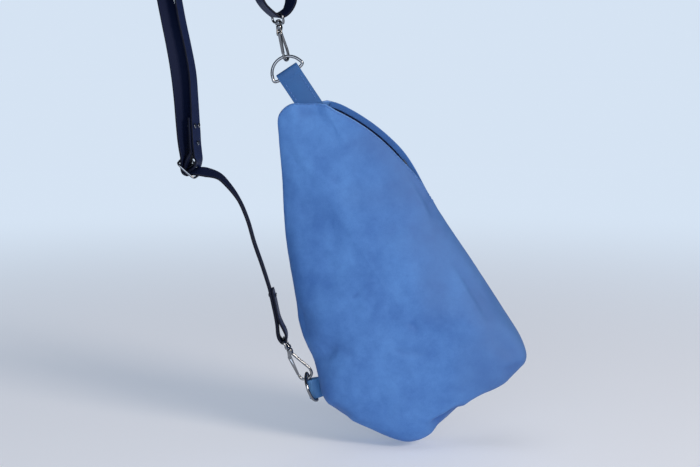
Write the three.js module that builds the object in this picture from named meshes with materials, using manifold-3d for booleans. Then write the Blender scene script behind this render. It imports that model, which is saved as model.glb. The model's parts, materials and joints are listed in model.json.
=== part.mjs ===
// A single-strap leather backpack: a drop-shaped body with a zip along its upper right edge, and one
// adjustable strap that two swivel hooks clip to a ring at the top and a ring at the lower left.
// Millimetres, +Z up, the front towards -Y. The origin is the middle of the flat of the back panel,
// which lies against the wearer. The body leans as it hangs from its strap.
import * as THREE from "three";
import { mergeVertices } from "three/addons/utils/BufferGeometryUtils.js";
import Module from "manifold-3d";

const wasm = await Module();
wasm.setup();
const { Vector2, Vector3, Matrix4 } = THREE;
const { lerp, smoothstep } = THREE.MathUtils;
const DEG = Math.PI / 180;

// Driving dimensions

const FIT = 0.3; // gap between pieces that lie against each other

// Body
const LEATHER = 1.6; // panel thickness
const BODY_LENGTH = 372; // top seam to the lowest point of the outline
const BASE_WIDTH = 216; // across the two bottom corners
const TOP_WIDTH = 40; // of the seam that holds the top tab
const FRONT_DEPTH = 40; // side seam to the crown of the front panel
const BACK_DEPTH = 28; // side seam to the flat of the back panel
const TOP_DEPTH = 12; // of each panel just under the top seam
const FRONT_TAPER = 260; // from the top seam to where the front panel is at its full depth
const BACK_TAPER = 130;
const FLAT_DROP = 215; // top seam to the middle of the back panel's flat
const FLAT_SHARE = 0.4; // of the way out from there to the side seam
const SIDE_FULLNESS = 2.2; // how boxed the panels are: 2 is an ellipse
const BASE_FULLNESS = 4.5;
const LINING = 0.7; // thickness
const LINING_GAP = 1; // between lining and leather
const LEAN = 23.5 * DEG; // of the body, top to the left

// Zip
const ZIP_DROP = 10; // top seam to the upper end of the zip
const ZIP_CHORD = 137; // between its ends
const ZIP_SLANT = 25.4 * DEG; // of that chord from the body's axis
const ZIP_RADIUS = 200; // of the curve of the zip edge
const ZIP_DEPTH = 9; // from the edge down to the tooth rows
const FRONT_RIM_DROP = 2.5; // the front edge sags at its middle
const BACK_RIM_RISE = 3.5; // and the back edge stands up
const MOUTH_RAMP = 18; // in which the mouth closes to the seam past each end
const SLIT = 5.2; // between the tooth rows of the open zip
const TOOTH_WIDTH = 2.2; // across the zip
const TOOTH_HEIGHT = 1.6;
const TOOTH_PITCH = 4.4;
const TOOTH_SPINE = 0.9; // the part of that width that joins a row
const TAPE = 0.8; // thickness
const TAPE_MARGIN = 4; // from the end of the mouth to the end of the tape
const STOP_LENGTH = 3;
const SLIDER_LENGTH = 13;
const SLIDER_PLATE = 1.3;
const SLIDER_RAIL = 1; // thickness of the turned-down sides
const SLIDER_PLAY = 0.4;
const PULL_LENGTH = 24;
const PULL_WIDTH = 6.5;
const PULL_PIN = 0.8; // radius

// Tabs, rings, hooks
const TAB_WIDTH = 25;
const TAB_LEATHER = 1.8;
const TAB_RISE = 32.8; // top seam to the ring's bar
const TAB_SLACK = 2.4; // of the fold over the bar
const TAB_TUCK = 8; // sewn into the seam
const TAB_OFFSET = 1.7; // from the body's axis
const TAB_TILT = 10 * DEG; // from the body's axis, to the left
const LOWER_TAB_WIDTH = 21;
const LOWER_TAB_LEATHER = 2.2;
const LOWER_TAB_RISE = 88.6; // lowest point of the outline to the middle of the lower tab
const LOWER_TAB_OUT = 6.9; // from the side seam to the middle of its eye
const LOWER_EYE = 3.6; // radius, loose on the ring
const LOWER_TAB_TUCK = 9;
const LOWER_TAB_CANT = 5 * DEG; // from square to the seam, its upper end to the right
const RING_WIRE = 1.6; // radius
const TOP_RING = 17.4; // radius of the wire's centre line
const LOWER_RING = 15.5;
const LOWER_RING_SHIFT = 2.6; // drawn up through its tab
const LOWER_RING_CANT = 7 * DEG; // in the eye, its upper end to the left
const RING_BAR_DROP = 0.8; // from the centre of the ring's curve to its straight bar
const TOP_PULL = 9 * DEG; // from upright, where the hook hangs in the top ring
const LOWER_PULL = 70 * DEG; // round the lower ring from its middle
const LOWER_RING_TURN = 76 * DEG; // about its bar, towards the front
const HOOK_WIRE = 1.5; // radius
const HOOK_DROP = 37.5; // swivel to the wire's centre line at the foot
const HOOK_REACH = 9.4; // swivel axis to the wire's centre line at the widest
const HOOK_NOSE = 4.3; // swivel axis to the nose
const HOOK_SEAT = 2.5; // swivel axis to the ring
const HOOK_PLAY = 0.6; // between a hook and its ring
const TOP_HOOK_TILT = 10.5 * DEG; // to the left, going up
const LOWER_HOOK_TILT = 28 * DEG;
const TOP_HOOK_PITCH = 10 * DEG; // to the front, going up
const TOP_HOOK_TWIST = 30 * DEG; // of the bail about the swivel, far end to the left
const TOP_HOOK_TURN = 74 * DEG; // of the hook about it, from facing the front
const NECK_RADIUS = 3.3;
const NECK_LENGTH = 6;
const POST_RADIUS = 1.7;
const POST_HEAD = 2.7; // radius
const POST_HEAD_HEIGHT = 1.6;
const BOSS_RADIUS = 3.6;
const BOSS_HEIGHT = 3.4;
const GATE_DROP = 8.5; // swivel to the gate's pin
const GATE_WIDTH = 2.6;
const GATE_CHEEK = 1.1; // thickness of each hinge cheek
const GATE_EYE = 2.1; // radius
const GATE_PIN = 0.7; // radius
const BAIL_WIRE = 1.3; // radius
const BAIL_RISE = 11.5; // swivel to the bail's bar
const BAIL_PLAY = 1; // on each side of the strap

// Strap
const STRAP_WIDTH = 20;
const STRAP_LEATHER = 2.4;
const BUCKLE_WIRE = 1.3; // radius
const BUCKLE_PITCH = 11.5; // between the buckle's bars
const BUCKLE_SLANT = 41 * DEG; // of the buckle from level
const BUCKLE_OUT = 96.7; // lower bail to the buckle's middle bar, to the left
const BUCKLE_RISE = 181.6; // and up
const ARCH_RISE = 180; // top bail to the top of the strap
const ARCH_LEFT = 7; // of that top from the middle between the strap's two ends
const LAYER_GAP = 1.4; // between the two layers of the strap
const RIVET_RADIUS = 1.2;
const RIVET_HEAD = 2.6; // radius
const RIVET_HEAD_HEIGHT = 0.9;
const RIVET_RISE = 43.5; // buckle's middle bar to the upper rivets
const RIVET_STEP = 18; // from those to the lower one
const LOOP_RIVET_RISE = 47.5; // lower bail to the rivet of the loop

// Fits that follow from those
const WRAP = BUCKLE_WIRE + FIT + STRAP_LEATHER / 2; // strap's centre line round a bar
const MOUTH = SLIT / 2 + TOOTH_WIDTH + SLIDER_PLAY * 2 + SLIDER_RAIL + TAPE + FIT; // half width
const TAB_THICKNESS = 2 * TAB_LEATHER;
const LOWER_TAB_THICKNESS = 2 * LOWER_TAB_LEATHER;
const TOP_EYE = RING_WIRE + FIT; // radius of the top tab's fold
const LOWER_TAB_DROP = BODY_LENGTH - LOWER_TAB_RISE; // from the top seam

// Materials

const finish = (color, roughness, metalness = 0) =>
  new THREE.MeshStandardMaterial({ color, roughness, metalness });
const BLUE_LEATHER = () => finish(0x4a78be, 0.8);
const NAVY_LEATHER = () => finish(0x1d2743, 0.55);
const NICKEL = () => finish(0xc6c9cf, 0.22, 1);
const LINING_CLOTH = () => finish(0x27355c, 0.9);
const TAPE_CLOTH = () => finish(0x1c2a52, 0.85);

// Geometry tools

function geometryOf(points, index) {
  const geometry = new THREE.BufferGeometry().setFromPoints(points);
  geometry.setIndex(index);
  return geometry;
}

/**
 * A closed skin through rings of equally many points. It closes on itself, or is capped at both ends:
 * by a fan round each end's middle, or, where the section has a hollow corner, by the section's triangles.
 */
function loft(rings, { closed = false, section = null } = {}) {
  const sides = rings[0].length;
  const points = rings.flat();
  const index = [];
  const bands = closed ? rings.length : rings.length - 1;
  for (let band = 0; band < bands; band++) {
    const here = band * sides;
    const next = ((band + 1) % rings.length) * sides;
    for (let k = 0; k < sides; k++) {
      const j = (k + 1) % sides;
      index.push(here + k, here + j, next + j, here + k, next + j, next + k);
    }
  }
  if (section) {
    const last = (rings.length - 1) * sides;
    for (const [a, b, c] of THREE.ShapeUtils.triangulateShape(section, [])) {
      const turned = THREE.ShapeUtils.isClockWise(section) ? [a, b, c] : [c, b, a];
      index.push(...turned, ...turned.toReversed().map((corner) => last + corner));
    }
  } else if (!closed) {
    for (const [ring, flip] of [[0, false], [rings.length - 1, true]]) {
      const middle = rings[ring].reduce((sum, p) => sum.add(p), new Vector3()).divideScalar(sides);
      points.push(middle);
      for (let k = 0; k < sides; k++) {
        const edge = [ring * sides + k, ring * sides + ((k + 1) % sides)];
        index.push(points.length - 1, ...(flip ? edge : edge.reverse()));
      }
    }
  }
  return outward(geometryOf(points, index));
}

/** Turns a closed geometry's faces outwards. */
function outward(geometry) {
  const position = geometry.getAttribute("position");
  const index = geometry.getIndex().array;
  const [a, b, c] = [new Vector3(), new Vector3(), new Vector3()];
  let volume = 0;
  for (let i = 0; i < index.length; i += 3) {
    [a, b, c].forEach((corner, k) => corner.fromBufferAttribute(position, index[i + k]));
    volume += a.dot(b.cross(c));
  }
  if (volume < 0) for (let i = 0; i < index.length; i += 3) index.subarray(i, i + 3).reverse();
  return geometry;
}

function solidOf(geometry) {
  const bare = geometry.clone();
  for (const name of ["normal", "uv"]) bare.deleteAttribute(name);
  const merged = mergeVertices(bare, 1e-4);
  return new wasm.Manifold(
    new wasm.Mesh({
      numProp: 3,
      vertProperties: new Float32Array(merged.attributes.position.array),
      triVerts: new Uint32Array(merged.index.array),
    }),
  );
}

function geometryFrom(solid) {
  const mesh = solid.getMesh();
  const geometry = new THREE.BufferGeometry();
  geometry.setAttribute("position", new THREE.BufferAttribute(mesh.vertProperties, mesh.numProp));
  return geometry.setIndex(new THREE.BufferAttribute(mesh.triVerts, 1));
}

const join = (...pieces) => geometryFrom(pieces.map(solidOf).reduce((sum, piece) => sum.add(piece)));
const cut = (piece, ...tools) =>
  geometryFrom(tools.map(solidOf).reduce((left, tool) => left.subtract(tool), solidOf(piece)));

/** A shape drawn in X and Z, extruded evenly about Y = 0. */
const plateXZ = (shape, thickness) =>
  new THREE.ExtrudeGeometry(shape, { depth: thickness, bevelEnabled: false, curveSegments: 12 })
    .translate(0, 0, -thickness / 2)
    .rotateX(Math.PI / 2);

/** A shape drawn in Y and Z, extruded evenly about X = 0. */
const plateYZ = (shape, width) =>
  new THREE.ExtrudeGeometry(shape, { depth: width, bevelEnabled: false, curveSegments: 14 })
    .translate(0, 0, -width / 2)
    .applyMatrix4(new Matrix4().set(0, 0, 1, 0, 1, 0, 0, 0, 0, 1, 0, 0, 0, 0, 0, 1));

/** A turned solid about Z from [radius, height] pairs that start and end on the axis. */
const turned = (profile, sides = 16) =>
  new THREE.LatheGeometry(profile.map(([r, z]) => new Vector2(r, z)), sides).rotateX(Math.PI / 2);

const rod = (radius, length, sides = 14) => new THREE.CylinderGeometry(radius, radius, length, sides);

/** A round wire along an open curve. */
function wire(curve, radius, steps, sides = 10) {
  const section = new THREE.Shape(
    Array.from({ length: sides }, (_, k) =>
      new Vector2(radius, 0).rotateAround(new Vector2(), (k / sides) * 2 * Math.PI)),
  );
  return new THREE.ExtrudeGeometry(section, { extrudePath: curve, steps, bevelEnabled: false });
}

/** A round wire along a closed loop that lies in the plane square to `across`. */
function wireLoop(curve, radius, steps, across, sides = 8) {
  const rings = [];
  for (let i = 0; i < steps; i++) {
    const middle = curve.getPointAt(i / steps);
    const side = curve.getTangentAt(i / steps).cross(across).normalize();
    rings.push(Array.from({ length: sides }, (_, k) => {
      const turn = ((k + 0.5) / sides) * 2 * Math.PI;
      return middle.clone().addScaledVector(side, radius * Math.cos(turn))
        .addScaledVector(across, radius * Math.sin(turn));
    }));
  }
  return loft(rings, { closed: true });
}

/** A rectangle with round corners as a closed path, in the plane of the unit vectors a and b. */
function roundedLoop(halfA, lowB, highB, corner, a, b) {
  const path = new THREE.CurvePath();
  const at = (x, y) => new Vector3().addScaledVector(a, x).addScaledVector(b, y);
  const corners = [[halfA, lowB], [halfA, highB], [-halfA, highB], [-halfA, lowB]];
  const step = (from, to) => Math.sign(to - from) * corner;
  corners.forEach(([x, y], i) => {
    const [px, py] = corners[(i + 3) % 4];
    const [nx, ny] = corners[(i + 1) % 4];
    const enter = at(x + step(x, px), y + step(y, py));
    const leave = at(x + step(x, nx), y + step(y, ny));
    path.add(new THREE.QuadraticBezierCurve3(enter, at(x, y), leave));
    path.add(new THREE.LineCurve3(leave, at(nx + step(nx, x), ny + step(ny, y))));
  });
  return path;
}

const part = new THREE.Group();

function add(parent, name, geometry, material) {
  const mesh = new THREE.Mesh(geometry, material);
  mesh.name = name;
  parent.add(mesh);
  return mesh;
}

function group(parent, x = 0, y = 0, z = 0) {
  const made = new THREE.Group();
  made.position.set(x, y, z);
  parent.add(made);
  return made;
}

// Body frame: X across, Z up from the top seam, Y = 0 in the plane of the side seam

const bag = group(part);
bag.rotation.y = -LEAN;
const seam = group(bag, 0, -BACK_DEPTH, FLAT_DROP);

// The zip edge is an arc, so that the slider runs round one axis

const zipTop = new Vector2(TOP_WIDTH / 2, -ZIP_DROP);
const zipFoot = new Vector2(Math.sin(ZIP_SLANT), -Math.cos(ZIP_SLANT))
  .multiplyScalar(ZIP_CHORD).add(zipTop);
const zipCentre = zipTop.clone().add(zipFoot).multiplyScalar(0.5).addScaledVector(
  new Vector2(-Math.cos(ZIP_SLANT), -Math.sin(ZIP_SLANT)),
  Math.sqrt(ZIP_RADIUS ** 2 - (ZIP_CHORD / 2) ** 2),
);
const zipStart = zipTop.clone().sub(zipCentre).angle();
const zipLength = 2 * ZIP_RADIUS * Math.asin(ZIP_CHORD / 2 / ZIP_RADIUS);

/** A point by its way along the zip from the top, its height above the zip edge and its Y. */
function zipPoint(along, height, y) {
  const turn = zipStart - along / ZIP_RADIUS;
  const reach = ZIP_RADIUS + height;
  return new Vector3(zipCentre.x + reach * Math.cos(turn), y, zipCentre.y + reach * Math.sin(turn));
}

// The outline goes down the zip edge, round the base and up the left side, back to the zip. Its free
// run passes through these shares of half the base width and of the length.
const OUTLINE = [
  [0.78, 0.46], [0.87, 0.6], [0.965, 0.766], [1.01, 0.874], [0.963, 0.917], [0.74, 0.949],
  [0.325, 0.96], [-0.045, 0.992], [-0.3, 1], [-0.556, 0.957], [-0.889, 0.876], [-1, 0.793],
  [-0.972, 0.672], [-0.88, 0.524], [-0.704, 0.323], [-0.5, 0.161], [-0.38, 0.059],
];
const ZIP_STEPS = 12;
const SIDE_STEPS = 40;

function bodyOutline() {
  const shoulder = [[-0.8, 0.004], [-0.4, -0.012], [0, 0.004]].map(([across, down]) =>
    new Vector3(across * TOP_WIDTH, 0, -down * BODY_LENGTH));
  const run = new THREE.CatmullRomCurve3([
    new Vector3(zipFoot.x, 0, zipFoot.y),
    ...OUTLINE.map(([across, down]) => new Vector3((across * BASE_WIDTH) / 2, 0, -down * BODY_LENGTH)),
    ...shoulder,
    new Vector3(zipTop.x, 0, zipTop.y),
  ], false, "centripetal");
  const points = [];
  for (let i = 0; i < ZIP_STEPS; i++) points.push(zipPoint((i / ZIP_STEPS) * zipLength, 0, 0));
  for (let i = 0; i < SIDE_STEPS; i++) points.push(run.getPointAt(i / SIDE_STEPS));
  return points;
}

/** The left side of the outline at a height, for what is sewn into the side seam. */
function leftSeamAt(points, z) {
  const at = points.findIndex((p, i) => i > ZIP_STEPS && p.x < 0 && p.z <= z && points[i + 1]?.z > z);
  const [a, b] = [points[at], points[at + 1]];
  return { x: lerp(a.x, b.x, (z - a.z) / (b.z - a.z)), slope: Math.atan2(b.x - a.x, b.z - a.z) };
}

const outline = bodyOutline();
const lowerSeam = leftSeamAt(outline, -LOWER_TAB_DROP);

/** How far each panel's edge stands off the seam plane: round the zip, and where a tab is sewn in. */
function edgeGap(point, index) {
  const near = (x, z, halfLength) =>
    1 - smoothstep(Math.hypot(point.x - x, point.z - z), halfLength, halfLength + MOUTH_RAMP);
  const onZip = index <= ZIP_STEPS;
  const zip = onZip ? 1 : Math.max(near(zipTop.x, zipTop.y, 0), near(zipFoot.x, zipFoot.y, 0));
  return Math.max(
    FIT / 2,
    MOUTH * zip,
    (TAB_THICKNESS / 2 + FIT) * near(TAB_OFFSET, 0, TAB_WIDTH * 0.7),
    (LOWER_TAB_THICKNESS / 2 + 2 * FIT) * near(lowerSeam.x, -LOWER_TAB_DROP, LOWER_TAB_WIDTH * 0.7),
  );
}

const edge = outline.map((point, i) => {
  const [before, after] = [outline.at(i - 1), outline[(i + 1) % outline.length]];
  const inwards = new Vector3(after.z - before.z, 0, before.x - after.x).normalize();
  const zipShare = i <= ZIP_STEPS ? Math.sin((i / ZIP_STEPS) * Math.PI) : 0;
  const base = smoothstep(-point.z, BODY_LENGTH * 0.7, BODY_LENGTH * 0.95);
  const fullness = lerp(SIDE_FULLNESS, BASE_FULLNESS, base);
  return { point, inwards, zipShare, gap: edgeGap(point, i), fullness };
});
const bodyMiddle = new Vector3(0, 0, -FLAT_DROP);

const FRONT = { side: -1, crown: FRONT_DEPTH, taper: FRONT_TAPER, flat: 0, rise: -FRONT_RIM_DROP };
const BACK = { side: 1, crown: BACK_DEPTH, taper: BACK_TAPER, flat: FLAT_SHARE, rise: BACK_RIM_RISE };

/** One ring of a panel's surface: `share` of the way out, `inset` below its outer face. */
function panelRing(form, share, inset) {
  return edge.map(({ point, inwards, zipShare, gap, fullness }) => {
    const rim = point.clone().addScaledVector(inwards, inset - form.rise * zipShare);
    const at = bodyMiddle.clone().lerp(rim, share);
    const depth = lerp(TOP_DEPTH, form.crown, smoothstep(-at.z, 0, form.taper)) - inset;
    const out = Math.max(0, (share - form.flat) / (1 - form.flat));
    const bulge = (1 - out ** fullness) ** (1 / fullness);
    at.y = form.side * lerp(gap, depth, bulge);
    return at;
  });
}

function panel(form, shares, inset, thickness) {
  const outer = shares.map((share) => panelRing(form, share, inset));
  const inner = shares.map((share) => panelRing(form, share, inset + thickness));
  return loft([...inner.reverse(), ...outer]);
}

const PANEL_SHARES = [1, 0.97, 0.9, 0.75, 0.55];
for (const [side, form] of [["front", FRONT], ["back", BACK]]) {
  const shares = [...PANEL_SHARES, form.flat || 0.25];
  add(seam, `${side}_panel`, panel(form, shares, 0, LEATHER), BLUE_LEATHER());
  add(seam, `lining_${side}`,
    panel(form, [0.97, 0.9, 0.75, shares.at(-1)], LEATHER + LINING_GAP, LINING), LINING_CLOTH());
}

// Zip: tapes that line the mouth, tooth rows, end stops, slider and pull

const teethStart = TAPE_MARGIN + STOP_LENGTH + 2 * FIT;
const teethEnd = zipLength - teethStart;

function zipTape(form) {
  const floor = -ZIP_DEPTH - FIT;
  const wall = MOUTH - FIT;
  const inner = SLIT / 2 + TOOTH_WIDTH - TOOTH_SPINE;
  const section = (rim) => [
    [rim, wall], [floor - TAPE, wall], [floor - TAPE, inner], [floor, inner],
    [floor, wall - TAPE], [rim, wall - TAPE],
  ].map(([height, y]) => new Vector2(height, y));
  const rings = Array.from({ length: ZIP_STEPS + 1 }, (_, i) => {
    const along = lerp(TAPE_MARGIN, zipLength - TAPE_MARGIN, i / ZIP_STEPS);
    const rim = form.rise * Math.sin((along / zipLength) * Math.PI) - FIT;
    return section(rim).map((place) => zipPoint(along, place.x, form.side * place.y));
  });
  return loft(rings, { section: section(0) });
}

/** A row of teeth: a bar that swells to a tooth tip once in each pitch. */
function toothRow(side) {
  const [tip, spine] = [SLIT / 2, SLIT / 2 + TOOTH_WIDTH - TOOTH_SPINE];
  const stations = [[teethStart, spine]];
  for (let along = teethStart + TOOTH_PITCH / 2; along + TOOTH_PITCH < teethEnd; along += TOOTH_PITCH)
    stations.push(...[[0, spine], [0.12, tip], [0.48, tip], [0.6, spine]]
      .map(([share, y]) => [along + share * TOOTH_PITCH, y]));
  stations.push([teethEnd, spine]);
  const [low, high] = [-ZIP_DEPTH, -ZIP_DEPTH + TOOTH_HEIGHT];
  return loft(stations.map(([along, y]) =>
    [[low, y], [high, y], [high, SLIT / 2 + TOOTH_WIDTH], [low, SLIT / 2 + TOOTH_WIDTH]]
      .map(([height, across]) => zipPoint(along, height, side * across))));
}

for (const [side, form] of [["front", FRONT], ["back", BACK]]) {
  add(seam, `zip_tape_${side}`, zipTape(form), TAPE_CLOTH());
  add(seam, `zip_teeth_${side}`, toothRow(form.side), NICKEL());
}

/** A frame on the zip: X down the zip, Z away from the bag, its origin on the zip edge. */
function zipFrame(parent, along) {
  const frame = group(parent);
  frame.position.copy(zipPoint(along, 0, 0));
  frame.rotation.y = Math.PI / 2 - (zipStart - along / ZIP_RADIUS);
  return frame;
}

const block = (x, y, z0, z1) => new THREE.BoxGeometry(x, y, z1 - z0).translate(0, 0, (z0 + z1) / 2);
const stopWidth = SLIT + 2 * TOOTH_WIDTH;
const stopAt = TAPE_MARGIN + STOP_LENGTH / 2; // from either end of the zip
for (const [name, along] of [["zip_top_stop", stopAt], ["zip_bottom_stop", zipLength - stopAt]])
  add(zipFrame(seam, along), name,
    block(STOP_LENGTH, stopWidth, -ZIP_DEPTH, -ZIP_DEPTH + TOOTH_HEIGHT), NICKEL());

const sliderHalfWidth = MOUTH - FIT - TAPE - SLIDER_PLAY;
const plateFloor = -ZIP_DEPTH + TOOTH_HEIGHT + SLIDER_PLAY;
const plateTop = plateFloor + SLIDER_PLATE;
const keeperTop = -ZIP_DEPTH - FIT - TAPE - SLIDER_PLAY;
const bridgeEye = plateTop + PULL_PIN + FIT + 0.8;
const bridgeHalf = 1.2;

function sliderBody() {
  const plate = (halfWidth, z0, z1) => block(SLIDER_LENGTH, 2 * halfWidth, z0, z1);
  const rail = (side) =>
    block(SLIDER_LENGTH, SLIDER_RAIL, -ZIP_DEPTH + SLIDER_PLAY / 2, plateTop)
      .translate(0, side * (sliderHalfWidth - SLIDER_RAIL / 2), 0);
  const post = block(SLIDER_LENGTH * 0.4, SLIT - 4 * SLIDER_PLAY, keeperTop - SLIDER_PLATE, plateTop);
  const bridge = new THREE.Shape();
  const foot = PULL_PIN + FIT + 1.2;
  bridge.moveTo(-foot, plateTop - 0.4).lineTo(foot, plateTop - 0.4).lineTo(foot, bridgeEye);
  bridge.absarc(0, bridgeEye, foot, 0, Math.PI, false).lineTo(-foot, plateTop - 0.4);
  bridge.holes.push(new THREE.Path().absarc(0, bridgeEye, PULL_PIN + FIT, 0, 2 * Math.PI, true));
  return join(
    plate(sliderHalfWidth, plateFloor, plateTop),
    plate(sliderHalfWidth - SLIDER_RAIL, keeperTop - SLIDER_PLATE, keeperTop),
    rail(-1), rail(1), post, plateXZ(bridge, 2 * bridgeHalf),
  );
}

/** The pull lies back along the zip from its pin, which turns in the slider's bridge. */
function zipPull() {
  const arm = 1.3;
  const armAt = bridgeHalf + FIT + arm / 2;
  const start = PULL_PIN + FIT + 1.2 + SLIDER_PLAY;
  const length = (from, to, width) =>
    new THREE.BoxGeometry(to - from, width, 2 * PULL_PIN).translate(-(from + to) / 2, 0, 0);
  const slot = new THREE.BoxGeometry(PULL_LENGTH * 0.3, PULL_WIDTH * 0.35, 4 * PULL_PIN)
    .translate(-PULL_LENGTH * 0.72, 0, 0);
  const leaf = cut(length(start, PULL_LENGTH, PULL_WIDTH), slot);
  const arms = [-1, 1].map((side) => length(-PULL_PIN, start + 1, arm).translate(0, side * armAt, 0));
  return join(rod(PULL_PIN, 2 * armAt + arm / 2), ...arms, leaf);
}

const sliderAt = teethEnd - SLIDER_LENGTH / 2 - SLIDER_PLAY;
const sliderFrame = zipFrame(seam, sliderAt);
add(sliderFrame, "zip_slider", sliderBody(), NICKEL());
add(group(sliderFrame, 0, 0, bridgeEye), "zip_pull", zipPull(), NICKEL());

// Tabs: leather folded round the bar of a ring and sewn into the seam. The eye is longer than the bar
// needs by `slack`.

function foldedTab(eye, slack, leather, tail, width) {
  const [outer, half] = [eye + leather, leather];
  const shape = new THREE.Shape();
  const turn = 1.4 * Math.asin(half / outer);
  const neck = -outer * 1.2;
  shape.moveTo(-half, -tail).lineTo(half, -tail).lineTo(half, neck);
  shape.absarc(0, 0, outer, -Math.PI / 2 + turn, 0, false).absarc(0, slack, outer, 0, Math.PI, false);
  shape.absarc(0, 0, outer, Math.PI, 1.5 * Math.PI - turn, false);
  shape.lineTo(-half, neck).lineTo(-half, -tail);
  const hole = new THREE.Path().absarc(0, slack, eye, Math.PI, 0, true);
  shape.holes.push(hole.absarc(0, 0, eye, 0, -Math.PI, true));
  return plateYZ(shape, width);
}

/** A D-ring: its bar along X through the origin, its curve towards +Z. */
function dRing(radius) {
  const half = Math.sqrt(radius ** 2 - RING_BAR_DROP ** 2);
  const start = Math.atan2(-RING_BAR_DROP, half);
  const sweep = Math.PI - 2 * start;
  const points = [-0.75, 0, 0.75].map((share) => new Vector3(share * half, 0, 0));
  for (let i = 0; i <= 10; i++) {
    const turn = start + (sweep * (i + 0.35)) / 10.7;
    points.push(new Vector3(radius * Math.cos(turn), 0, RING_BAR_DROP + radius * Math.sin(turn)));
  }
  const loop = new THREE.CatmullRomCurve3(points, true, "centripetal");
  return wireLoop(loop, RING_WIRE, 36, new Vector3(0, 1, 0));
}

const topTab = group(seam, TAB_OFFSET);
topTab.rotation.y = -TAB_TILT;
const topEye = group(topTab, 0, 0, TAB_RISE);
add(topEye, "top_tab",
  foldedTab(TOP_EYE, TAB_SLACK, TAB_LEATHER, TAB_RISE + TAB_TUCK, TAB_WIDTH), BLUE_LEATHER());
add(topEye, "top_d_ring", dRing(TOP_RING), NICKEL());

const lowerTab = group(seam, lowerSeam.x, 0, -LOWER_TAB_DROP);
lowerTab.rotation.y = lowerSeam.slope - Math.PI / 2 + LOWER_TAB_CANT; // +Z out of the side seam, +X up it
const lowerEye = group(lowerTab, 0, 0, LOWER_TAB_OUT);
add(lowerEye, "lower_tab",
  foldedTab(LOWER_EYE, 0, LOWER_TAB_LEATHER, LOWER_TAB_OUT + LOWER_TAB_TUCK, LOWER_TAB_WIDTH),
  BLUE_LEATHER());
const lowerRing = group(lowerEye, LOWER_RING_SHIFT);
lowerRing.rotation.set(LOWER_RING_TURN, -LOWER_RING_CANT, 0, "YXZ");
add(lowerRing, "lower_d_ring", dRing(LOWER_RING), NICKEL());

// Swivel hooks: bail, body with its post through the bail's boss, sprung gate on a pin

const postTop = BOSS_HEIGHT + 2 * FIT;
const gateX = -HOOK_NOSE * 0.8;

function hookBody() {
  const curve = new THREE.CatmullRomCurve3([
    [0, -NECK_LENGTH * 0.7], [HOOK_REACH * 0.3, -HOOK_DROP * 0.32], [HOOK_REACH * 0.68, -HOOK_DROP * 0.56],
    [HOOK_REACH, -HOOK_DROP * 0.79], [HOOK_REACH * 0.93, -HOOK_DROP * 0.93], [HOOK_SEAT + 2.5, -HOOK_DROP],
    [HOOK_SEAT - 2, -HOOK_DROP], [-HOOK_NOSE * 0.85, -HOOK_DROP * 0.92], [-HOOK_NOSE, -HOOK_DROP * 0.8],
  ].map(([x, z]) => new Vector3(x, 0, z)), false, "centripetal");
  const neck = turned([
    [0, -NECK_LENGTH], [NECK_RADIUS * 0.7, -NECK_LENGTH], [NECK_RADIUS, -NECK_LENGTH * 0.6],
    [NECK_RADIUS, -1], [NECK_RADIUS - 1, 0], [POST_RADIUS, 0], [POST_RADIUS, postTop],
    [POST_HEAD, postTop], [POST_HEAD, postTop + POST_HEAD_HEIGHT * 0.5],
    [POST_HEAD * 0.6, postTop + POST_HEAD_HEIGHT], [0, postTop + POST_HEAD_HEIGHT],
  ]);
  const cheek = new THREE.Shape();
  cheek.moveTo(0, -NECK_LENGTH * 0.3).lineTo(-NECK_RADIUS * 0.9, -NECK_LENGTH * 0.4);
  cheek.lineTo(gateX - GATE_EYE, -GATE_DROP);
  cheek.absarc(gateX, -GATE_DROP, GATE_EYE, Math.PI, 1.8 * Math.PI, false).lineTo(0, -NECK_LENGTH * 0.3);
  cheek.holes.push(new THREE.Path().absarc(gateX, -GATE_DROP, GATE_PIN + FIT, 0, 2 * Math.PI, true));
  const cheekAt = GATE_WIDTH / 2 + FIT + GATE_CHEEK / 2;
  const cheeks = [-1, 1].map((side) => plateXZ(cheek, GATE_CHEEK).translate(0, side * cheekAt, 0));
  const root = new THREE.CylinderGeometry(GATE_EYE + FIT, GATE_EYE + FIT, GATE_WIDTH + 2 * FIT, 18)
    .translate(gateX, 0, -GATE_DROP);
  return join(cut(join(neck, wire(curve, HOOK_WIRE, 26, 8)), root), ...cheeks);
}

/** The gate hangs from its pin, at the origin, down to the hook's nose. */
function hookGate() {
  const lean = gateX + HOOK_NOSE; // the nose stands a little further out than the pin
  const tip = HOOK_DROP * 0.8 - GATE_DROP - 2 * FIT;
  const shape = new THREE.Shape();
  shape.absarc(0, 0, GATE_EYE, 0, Math.PI, false);
  shape.lineTo(-lean - HOOK_WIRE * 0.9, -tip).lineTo(-lean + HOOK_WIRE * 0.7, -tip).lineTo(GATE_EYE, 0);
  shape.holes.push(new THREE.Path().absarc(0, 0, GATE_PIN + FIT, 0, 2 * Math.PI, true));
  return plateXZ(shape, GATE_WIDTH);
}

function bail() {
  const half = STRAP_WIDTH / 2 + BAIL_PLAY + BAIL_WIRE;
  const middle = FIT + BOSS_HEIGHT / 2;
  const loop = roundedLoop(half, middle, BAIL_RISE, 3, new Vector3(0, 1, 0), new Vector3(0, 0, 1));
  const boss = rod(BOSS_RADIUS, BOSS_HEIGHT, 16).rotateX(Math.PI / 2).translate(0, 0, middle);
  const bore = rod(POST_RADIUS + FIT, BOSS_HEIGHT * 3, 16).rotateX(Math.PI / 2).translate(0, 0, middle);
  return cut(join(wireLoop(loop, BAIL_WIRE, 28, new Vector3(1, 0, 0)), boss), bore);
}

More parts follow.
